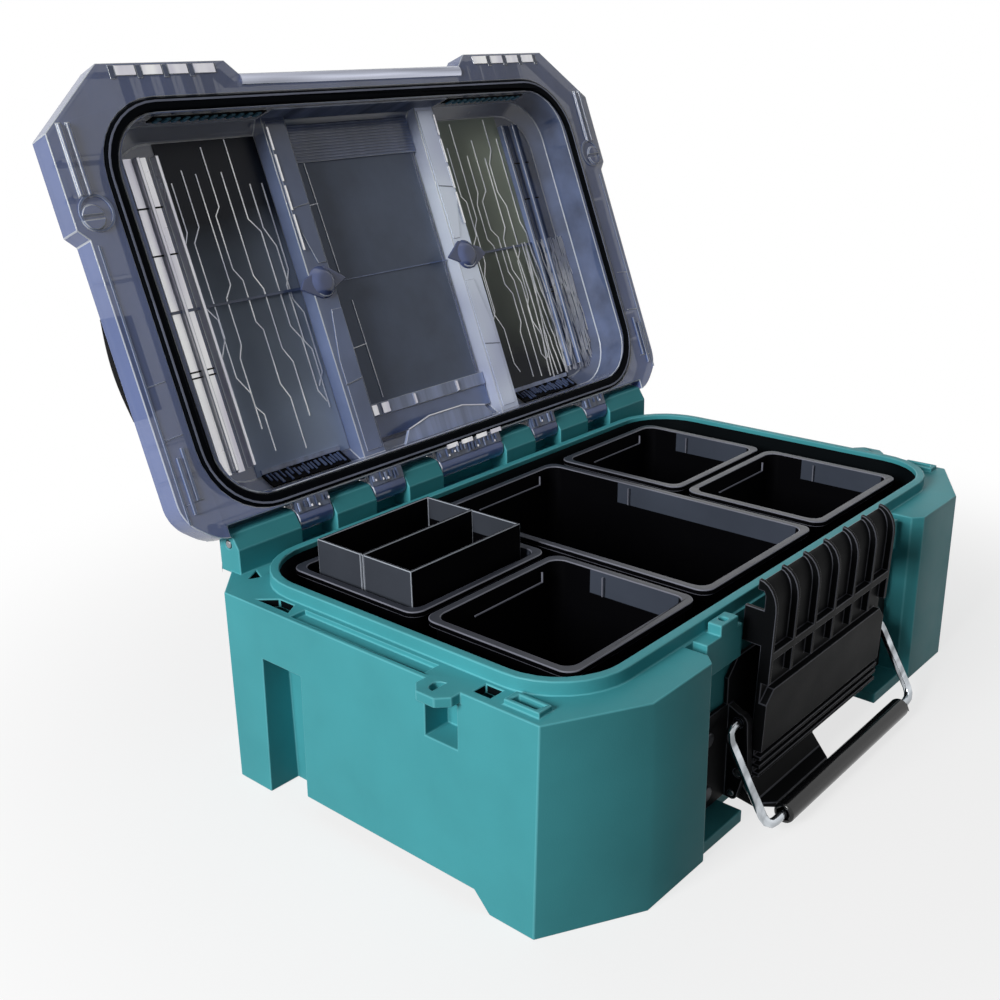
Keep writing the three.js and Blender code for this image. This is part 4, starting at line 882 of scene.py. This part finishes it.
ledgeLook = {  # a ledge or deck: its front, its rear, and how far it hangs below the low level
    "halfX": 49.5, "low": 127.6, "high": 130.2, "edge": 0.3,
    "frontLedge": (-94, -71, 0), "rearLedge": (68, 75.5, 0.8), "rearDeck": (75.5, 88, 0),
    "blocks": [(-46, 5), (-38, 6), (-12, 2), (24, 2)], "blockYs": (68.6, 75), "blockDrops": (1.6, 0.6),
}
archLook = {
    "outline": [(-36, 95), (-31, 88), (-13, 84), (15, 84), (34, 88), (39, 95)],
    "low": 117.5, "thickness": 2.2, "crestForward": 0.4, "crestWidth": 1.0, "crestHalf": 0.4,
}
plateLines = {
    "lines": [((-39, -86), (-37, -8)), ((-34, 8), (-33, 66))], "ticks": [(-37, -48), (-33, 34)],
    "tickReach": 11, "tickFall": 1, "width": 0.8, "low": 128.2, "high": 128.9,
}


def makeCentreLedges():
    shape = bmesh.new()
    half, low, high = ledgeLook["halfX"], ledgeLook["low"], ledgeLook["high"]
    for key, materialIndex in (("frontLedge", 0), ("rearLedge", 1), ("rearDeck", 0)):
        front, rear, drop = ledgeLook[key]
        addBlock(shape, (-half, front, low - drop), (half, rear, high), materialIndex)
    front, rear = ledgeLook["blockYs"]
    most, least = ledgeLook["blockDrops"]
    for x, width in ledgeLook["blocks"]:
        addBlock(shape, (x, front, low - most), (x + width, rear, low - least), 2)

    arch, height = archLook["outline"], archLook["low"]
    addPrism(shape, [(x, y, height) for x, y in arch], (0, 0, archLook["thickness"]), 1)
    crest = [(x, y - archLook["crestForward"]) for x, y in arch[1:-1]]
    half = archLook["crestHalf"]
    addRibbon(shape, crest, archLook["crestWidth"], height - half, height + half, 2)

    look = plateLines
    ticks = [((x - look["tickReach"], y + look["tickFall"]), (x, y)) for x, y in look["ticks"]]
    for line in look["lines"] + ticks:
        addRibbon(shape, line, look["width"], look["low"], look["high"], 3)
    lidPiece(shape, "centre_ledges", ["beam", "ledge", "strip", "thread", "lidEdge"], ledgeLook["edge"])


makeCentreLedges()


# lid: slatted bands on the inner walls, brushed lines over the centre

frontSlats = {"start": (74, -94.7, 112), "step": (5.6, 0, 0), "count": 12, "bar": (2.4, 1.2, 5.6)}
slatBacks = {"innerX": 69.5, "outerX": 139.5, "front": -95.6, "rear": -94.9, "low": 108.6, "high": 115.4}
brushedLines = {"start": (0, -95.2, 107.0), "step": (0, 0, 1.45), "count": 14, "bar": (132, 0.7, 0.4)}
brushedCeiling = {"start": (0, -93.2, 127.3), "step": (0, 1.7, 0), "count": 13, "bar": (97, 0.45, 0.5)}
rearBand = {
    "innerX": 74, "outerX": 128, "front": 87, "rear": 94.6, "high": 130, "low": 122, "skin": 0.6, "drop": 1,
    "ledgeYs": (2.6, 0.2), "ledgeDrop": 1.6, "startGap": 1.5, "endGap": 3, "seed": 31,
    "markWidth": (0.5, 1.5), "markStart": (0.02, 0.3), "markEnd": (0.6, 0.98), "markGap": (0.7, 2.2),
    "markLift": 0.7, "liftShares": (0.75, 0.65),
}


def makeRearBand(side, name):
    # dark slanted band near the hinge, with uneven upright marks and a light ledge above it
    look = rearBand
    front, rear, high, low = look["front"], look["rear"], look["high"], look["low"]
    skin, drop, (forward, down) = look["skin"], look["drop"], look["liftShares"]
    left, right = across(side, look["innerX"], look["outerX"])
    shape = bmesh.new()
    section = [(front, high - drop), (rear - skin, low), (rear, low + skin), (front + skin, high)]
    addBar(shape, 1, (left, right), section)
    start, end = look["ledgeYs"]
    addBlock(shape, (left, front - start, high - look["ledgeDrop"]), (right, front - end, high), 1)
    dice = random.Random(look["seed"] + side)
    x = left + look["startGap"]
    while x < right - look["endGap"]:
        width = dice.uniform(*look["markWidth"])
        start, end = dice.uniform(*look["markStart"]), dice.uniform(*look["markEnd"])
        mark = []
        for share, lift in ((start, 0), (end, 0), (end, look["markLift"]), (start, look["markLift"])):
            y = front + (rear - skin - front) * share
            z = high - drop + (low - high + drop) * share
            mark.append((x, y - lift * forward, z - lift * down))
        addPrism(shape, mark, (width, 0, 0), 2)
        x += width + dice.uniform(*look["markGap"])
    lidPiece(shape, "rear_band_" + name, ["bin", "ledge", "lidWall"])


def makeSlats():
    backs = bmesh.new()
    for side, name in bothSides:
        left, right = across(side, slatBacks["innerX"], slatBacks["outerX"])
        addBlock(backs, (left, slatBacks["front"], slatBacks["low"]),
                 (right, slatBacks["rear"], slatBacks["high"]))
        makeRearBand(side, name)
    lidPiece(backs, "slat_backs", ["bin"])
    barRow("front_slats_right", "slat", frontSlats)
    barRow("front_slats_left", "slat", mirroredRow(frontSlats))
    barRow("brushed_wall", "ledge", brushedLines)
    barRow("brushed_ceiling", "ledge", brushedCeiling)


makeSlats()


# lid: light slots in the front corner blocks, lines and rings on the side flanges

rimLook = {
    "underside": 104.6, "face": 105.2, "slotEdge": 0.3, "markEdge": 0.15,
    "slots": [(97, 110), (113.5, 125), (128.5, 140), (143.5, 155)], "slotFront": -119.8, "slotRear": -114.6,
    "notchFrom": 0.2, "notchTo": 3.2, "notchReach": 1.4, "notchLift": 0.1,
    "lineX": 191.6, "lineYs": (-37, 98), "lineWidth": 1.2,
    "crossYs": [30, 56, 88], "crossFromX": 180.5, "crossToX": 191, "crossRise": 1, "crossWidth": 0.6,
    "crossLift": 0.2,
    "bars": [(183.6, 62, 88), (187.2, 66, 94)], "barWidth": 1.5, "barDrop": 0.6,
    "ringX": 187.5, "ringY": -52, "ringRadius": 8.4, "ringStep": 15, "ringWidth": 1.3, "ringDrop": 0.3,
}
lipLook = {"halfX": 83, "y": -110.9, "halfY": 3.35, "z": 106.2, "halfZ": 2.3, "step": 20}


def makeRimDetails():
    look = rimLook
    low, high, radius = look["underside"], look["face"], look["ringRadius"]
    slots = bmesh.new()
    marks = bmesh.new()
    for side in (-1, 1):
        for inner, outer in look["slots"]:
            left, right = across(side, inner, outer)
            addBlock(slots, (left, look["slotFront"], low), (right, look["slotRear"], high))
            left, right = across(side, outer + look["notchFrom"], outer + look["notchTo"])
            addBlock(slots, (left, look["slotFront"], low + look["notchLift"]),
                     (right, look["slotRear"] + look["notchReach"], high), 1)
        addRibbon(marks, [(side * look["lineX"], y) for y in look["lineYs"]], look["lineWidth"], low, high)
        for y in look["crossYs"]:
            path = [(side * look["crossFromX"], y), (side * look["crossToX"], y + look["crossRise"])]
            addRibbon(marks, path, look["crossWidth"], low + look["crossLift"], high)
        for x, *ends in look["bars"]:
            path = [(side * x, y) for y in ends]
            addRibbon(marks, path, look["barWidth"], low - look["barDrop"], high)
        centreX, centreY = side * look["ringX"], look["ringY"]
        ring = [(centreX + radius * x, centreY + radius * y) for x, y in circle(look["ringStep"])]
        addRibbon(marks, ring, look["ringWidth"], low - look["ringDrop"], high, closed=True)
    lidPiece(slots, "rim_slots", ["strip", "lidWall", "lidEdge"], look["slotEdge"])
    lidPiece(marks, "rim_marks", ["beam", "lidEdge"], look["markEdge"])


def makeLipBar():
    # glossy bar along the lid's front lip; its oval section clears the closed latch
    section = [(lipLook["y"] + lipLook["halfY"] * y, lipLook["z"] + lipLook["halfZ"] * z)
               for y, z in circle(lipLook["step"])]
    shape = bmesh.new()
    addBar(shape, 1, (-lipLook["halfX"], lipLook["halfX"]), section)
    lidPiece(shape, "lip_bar", ["lip"])


makeRimDetails()
makeLipBar()


# hinge: light slots, uneven ribs on the knuckles' webs, a narrow strip over each hinge block,
# and on the body the stops and sills that close the narrow gaps beside the pin

hingeSlots = {"start": (-14, 103.4, 104.8), "step": (12.5, 0, 0), "count": 4, "bar": (9.0, 2.6, 0.7)}
hingeLook = {
    "knuckles": [(-130.5, -108.7), (-78.4, -55.4), (-26.4, 26.4), (55.4, 78.4), (108.7, 130.5)],
    "blocks": [(27, 55), (79, 108), (131, 171.5)],
    "web": [(103.2, 105.2), (110.5, 105.2), (110.5, 107.2), (103.2, 107.2)],
    "strip": [(103.4, 108.8), (104.75, 109.1), (104.7, 112.0), (103.4, 113.2)], "stripInset": 0.2,
    "stop": [(116.4, 112), (114.5, 118.3), (120.4, 118.0), (120.6, 112.4), (120.6, 100), (119.4, 100)],
    "sill": [(117.4, 97.2), (117.4, 103.0), (118.4, 104.0), (120.6, 104.0), (120.6, 97.2)],
    "stopInset": 0.5, "sillInset": -0.8, "stopEdge": 0.3,
}
webRibs = {
    "startGap": 1, "endGap": 2, "width": (0.5, 1.4), "front": (103.6, 105.5), "rear": (107.5, 110),
    "low": 104.4, "high": 105.6, "tones": (1, 1, 2), "gap": (1.2, 4.6), "seed": 5,
    "nibShare": 0.35, "nibLength": 1.2, "nibWidth": 1, "nibLow": 104.3, "nibHigh": 105.3,
}


def makeHingeWebs():
    look = webRibs
    dice = random.Random(look["seed"])
    webs = bmesh.new()
    for start, end in hingeLook["knuckles"]:
        addBar(webs, 1, (start, end), hingeLook["web"])
        x = start + look["startGap"]
        while x < end - look["endGap"]:
            width = dice.uniform(*look["width"])
            front, rear = dice.uniform(*look["front"]), dice.uniform(*look["rear"])
            tone = dice.choice(look["tones"])
            addBlock(webs, (x, front, look["low"]), (x + width, rear, look["high"]), tone)
            if dice.random() < look["nibShare"]:
                addBlock(webs, (x + width, rear - look["nibLength"], look["nibLow"]),
                         (x + width + look["nibWidth"], rear, look["nibHigh"]), 3)
            x += width + dice.uniform(*look["gap"])
    for side in (-1, 1):
        for block in hingeLook["blocks"]:
            addBar(webs, side, block, hingeLook["strip"], hingeLook["stripInset"], 1)
    lidPiece(webs, "hinge_webs", ["knuckle", "lidWall", "ledge", "strip"])


def makeHingeStops():
    # the blocks are a little deeper behind the pin, where they stop the opened lid
    stops = bmesh.new()
    for side in (-1, 1):
        for block in hingeLook["blocks"]:
            addBar(stops, side, block, hingeLook["stop"], hingeLook["stopInset"])
    for knuckle in hingeLook["knuckles"]:
        addBar(stops, 1, knuckle, hingeLook["sill"], hingeLook["sillInset"])
    mats = ["teal", "tealEdge"]
    shapePiece(stops, "hinge_stops", "base", mats, width=hingeLook["stopEdge"])


barRow("hinge_slots", "strip", hingeSlots)
makeHingeWebs()
makeHingeStops()
print("lid details made")


# latch, bracket, bail, lever, pins and screws: body, slot, finishes, edge width, then the rest place,
# the chooser of finishes and the steps of rounding where they are needed

blackMoulding = ["black", "blackEdge"]
hardware = {
    "latch": ("front_latch", "black_plastic", blackMoulding, 0.0004, latchAjar),
    "latch_bracket": ("base", "black_plastic", blackMoulding, 0.0004),
    "stack_lever": ("lever", "black_plastic", blackMoulding, 0.0005),
    "bail_wire": ("bail", "bail_chrome", ["chrome"], 0.0002, bailLean),
    "bail_grip": ("bail", "grip_black", ["grip"], 0.0012, bailLean, None, 3),
    **{pin: ("base", "pin_steel", ["steel"], 0.0003) for pin in ("hinge_pin", "latch_pin", "lever_pin")},
    **{f"bracket_screw_{i}": ("base", "pin_steel", ["screw"], 0.0004) for i in range(1, 5)},
}
for node, look in hardware.items():
    dressNode(node, *look)
print("front hardware dressed")


# bins and insert tray

binBodies = {
    "bin_center": "center_bin",
    "bin_left_front": "left_front_bin",
    "bin_left_rear": "left_rear_bin",
    "bin_right_front": "right_front_bin",
    "bin_right_rear": "right_rear_bin",
}
binLook = {
    "edge": 0.0005, "rimZ": 0.0990, "bandFromZ": 0.0868, "bandToZ": 0.0985, "bandShare": 0.7,
    "ledgeZ": 91.5, "ledgeInset": 5.6, "ledgeThick": 0.5, "ledgeShares": (0.3, 0.82), "ledgeReach": 0.9,
    "root": 0.1, "postHeight": 5, "markReach": 0.7, "markYs": (9, 8.4), "markZs": (-4, 6),
}


def binFace(middle, bandEnd):
    # painted light: grey rim tops where light falls on them, and a grey band inside the right wall where the
    # lamp lights it, ending short of the rear corner; black elsewhere
    def choose(face):
        centre = face.calc_center_median()
        if centre.z > binLook["rimZ"] and face.normal.z > facing:
            return "binRim"
        lit = face.normal.x < -facing and centre.x > middle and centre.y < bandEnd
        return "binBand" if lit and binLook["bandFromZ"] < centre.z < binLook["bandToZ"] else "bin"
    return choose


def makeBinLedges(node, body, bandEnd):
    # a thin ledge with a short upright inside the rear wall, and an upright on the right wall's band, all in
    # the pale edge tint: painted highlight lines
    low, high = [Vector(corner) * 1000 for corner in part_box(node)]
    thick, z, root = binLook["ledgeThick"], binLook["ledgeZ"], binLook["root"]
    start, end = [low.x + (high.x - low.x) * share for share in binLook["ledgeShares"]]
    rear, right = high.y - binLook["ledgeInset"], high.x - binLook["ledgeInset"]
    front = rear - binLook["ledgeReach"]
    shape = bmesh.new()
    addBlock(shape, (start, front, z - thick), (end, rear + root, z))
    addBlock(shape, (end - thick, front, z - thick), (end, rear + root, z + binLook["postHeight"]))
    (far, near), (down, up) = binLook["markYs"], binLook["markZs"]
    addBlock(shape, (right - binLook["markReach"], bandEnd - far, z + down),
             (right + root, bandEnd - near, z + up))
    shapePiece(shape, node + "_ledges", body, ["binEdge"])


for node, body in binBodies.items():
    low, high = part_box(node)
    bandEnd = low[1] + (high[1] - low[1]) * binLook["bandShare"]
    chooser = binFace((low[0] + high[0]) / 2, bandEnd)
    dressNode(node, body, "bin_black", ["bin", "binRim", "binBand", "binEdge"], binLook["edge"],
              chooser=chooser, cuts=[(2, binLook["bandFromZ"]), (1, bandEnd)])
    makeBinLedges(node, body, bandEnd * 1000)

trayLook = {"outerX": -0.1440, "bandFromZ": 0.1035, "edge": 0.0004, "mats": ["bin", "tray", "trayEdge"]}


def trayFace(face):
    # painted light: grey where the tray faces left towards the lamp, on its outer wall and in a band inside
    # its right wall
    centre = face.calc_center_median()
    lit = face.normal.x < -facing and (centre.x < trayLook["outerX"] or centre.z > trayLook["bandFromZ"])
    return "tray" if lit else "bin"


dressNode("insert_tray", "tray", "bin_black", trayLook["mats"], trayLook["edge"],
          chooser=trayFace, cuts=[(2, trayLook["bandFromZ"])])
dressNode("tray_divider", "divider", "bin_black", trayLook["mats"], trayLook["edge"], chooser=trayFace)
print("bins dressed")


# stage: pale floor, plain soft light and the photograph's camera

floorLook = {
    "half": 4.0, "bounce": 0.18, "seen": 0.95, "whiteNear": 0.74, "fadeFrom": 0.22, "fadeTo": 0.5,
    "paint": {"Roughness": 0.9, "Specular_IOR_Level": 0.1},
}
lightLook = {"world": 0.055, "aim": (0, 0, 0.08), "white": (1, 1, 1, 1)}
lamps = {
    "keyLamp": {"place": (-2.0, 0.0, 0.95), "size": 0.7, "power": 40},
    "topLamp": {"place": (0.1, 0.5, 2.2), "size": 1.6, "power": 5},
    "fillLamp": {"place": (1.9, 0.9, 0.9), "size": 1.6, "power": 5},
}
cameraLook = {
    "place": (-0.495343, -0.351484, 0.335034), "turn": (69.72, 1.138, -48.8894),
    "fieldOfView": 44.6198, "nearest": 0.01,
}


def seenDirectly(tree):
    # 1 where the camera, a reflection or clear plastic looks straight at the surroundings
    path = addNode(tree, "ShaderNodeLightPath").outputs
    seen = path["Is Camera Ray"]
    for extra in ("Is Glossy Ray", "Is Transmission Ray"):
        seen = addNode(tree, "ShaderNodeMath", {"operation": "MAXIMUM"}, seen, path[extra]).outputs[0]
    return seen


def makeFloor():
    # pale floor that keeps the shadow near the case and runs out to plain white around it
    half = floorLook["half"]
    mesh = bpy.data.meshes.new("floor")
    corners = [(-half, -half, 0), (half, -half, 0), (half, half, 0), (-half, half, 0)]
    mesh.from_pydata(corners, [], [(0, 1, 2, 3)])
    material, tree, shader = startMaterial("floorPaint", **floorLook["paint"])
    mesh.materials.append(material)
    paleness = addNode(tree, "ShaderNodeMapRange", Value=seenDirectly(tree),
                       To_Min=floorLook["bounce"], To_Max=floorLook["seen"])
    feed(tree, shader, Base_Color=paleness.outputs["Result"])
    place = addNode(tree, "ShaderNodeTexCoord").outputs["Object"]
    far = addNode(tree, "ShaderNodeVectorMath", {"operation": "LENGTH"}, place).outputs["Value"]
    fade = addNode(tree, "ShaderNodeMapRange", {"interpolation_type": "SMOOTHSTEP"}, Value=far,
                   From_Min=floorLook["fadeFrom"], From_Max=floorLook["fadeTo"],
                   To_Min=floorLook["whiteNear"]).outputs["Result"]
    share = addNode(tree, "ShaderNodeMath", {"operation": "MULTIPLY"}, fade, seenDirectly(tree))
    white = addNode(tree, "ShaderNodeEmission", Color=lightLook["white"], Strength=1.0)
    mix = addNode(tree, "ShaderNodeMixShader", None, share.outputs[0], shader.outputs[0], white.outputs[0])
    feed(tree, tree.nodes["Material Output"], Surface=mix.outputs[0])
    placed("floor", mesh)


def makeWorld():
    world = bpy.data.worlds.new("softStudio")
    bpy.context.scene.world = world
    world.use_nodes = True
    tree = world.node_tree
    plain = tree.nodes["Background"]
    feed(tree, plain, Color=lightLook["white"], Strength=lightLook["world"])
    white = addNode(tree, "ShaderNodeBackground", Color=lightLook["white"], Strength=1.0)
    mix = addNode(tree, "ShaderNodeMixShader", None, seenDirectly(tree), plain.outputs[0], white.outputs[0])
    feed(tree, tree.nodes["World Output"], Surface=mix.outputs[0])


def makeLampsAndCamera():
    for name, look in lamps.items():
        data = bpy.data.lights.new(name, "AREA")
        data.energy = look["power"]
        data.size = look["size"]
        light = placed(name, data)
        light.location = look["place"]
        towards = Vector(lightLook["aim"]) - Vector(look["place"])
        light.rotation_euler = towards.to_track_quat("-Z", "Y").to_euler()

    camera = placed("camera", bpy.data.cameras.new("camera"))
    camera.data.sensor_fit = "HORIZONTAL"
    camera.data.angle = math.radians(cameraLook["fieldOfView"])
    camera.data.clip_start = cameraLook["nearest"]
    camera.location = cameraLook["place"]
    camera.rotation_euler = [math.radians(angle) for angle in cameraLook["turn"]]
    bpy.context.scene.camera = camera
    bpy.context.scene.view_settings.view_transform = "Standard"


makeFloor()
makeWorld()
makeLampsAndCamera()
print("stage set")
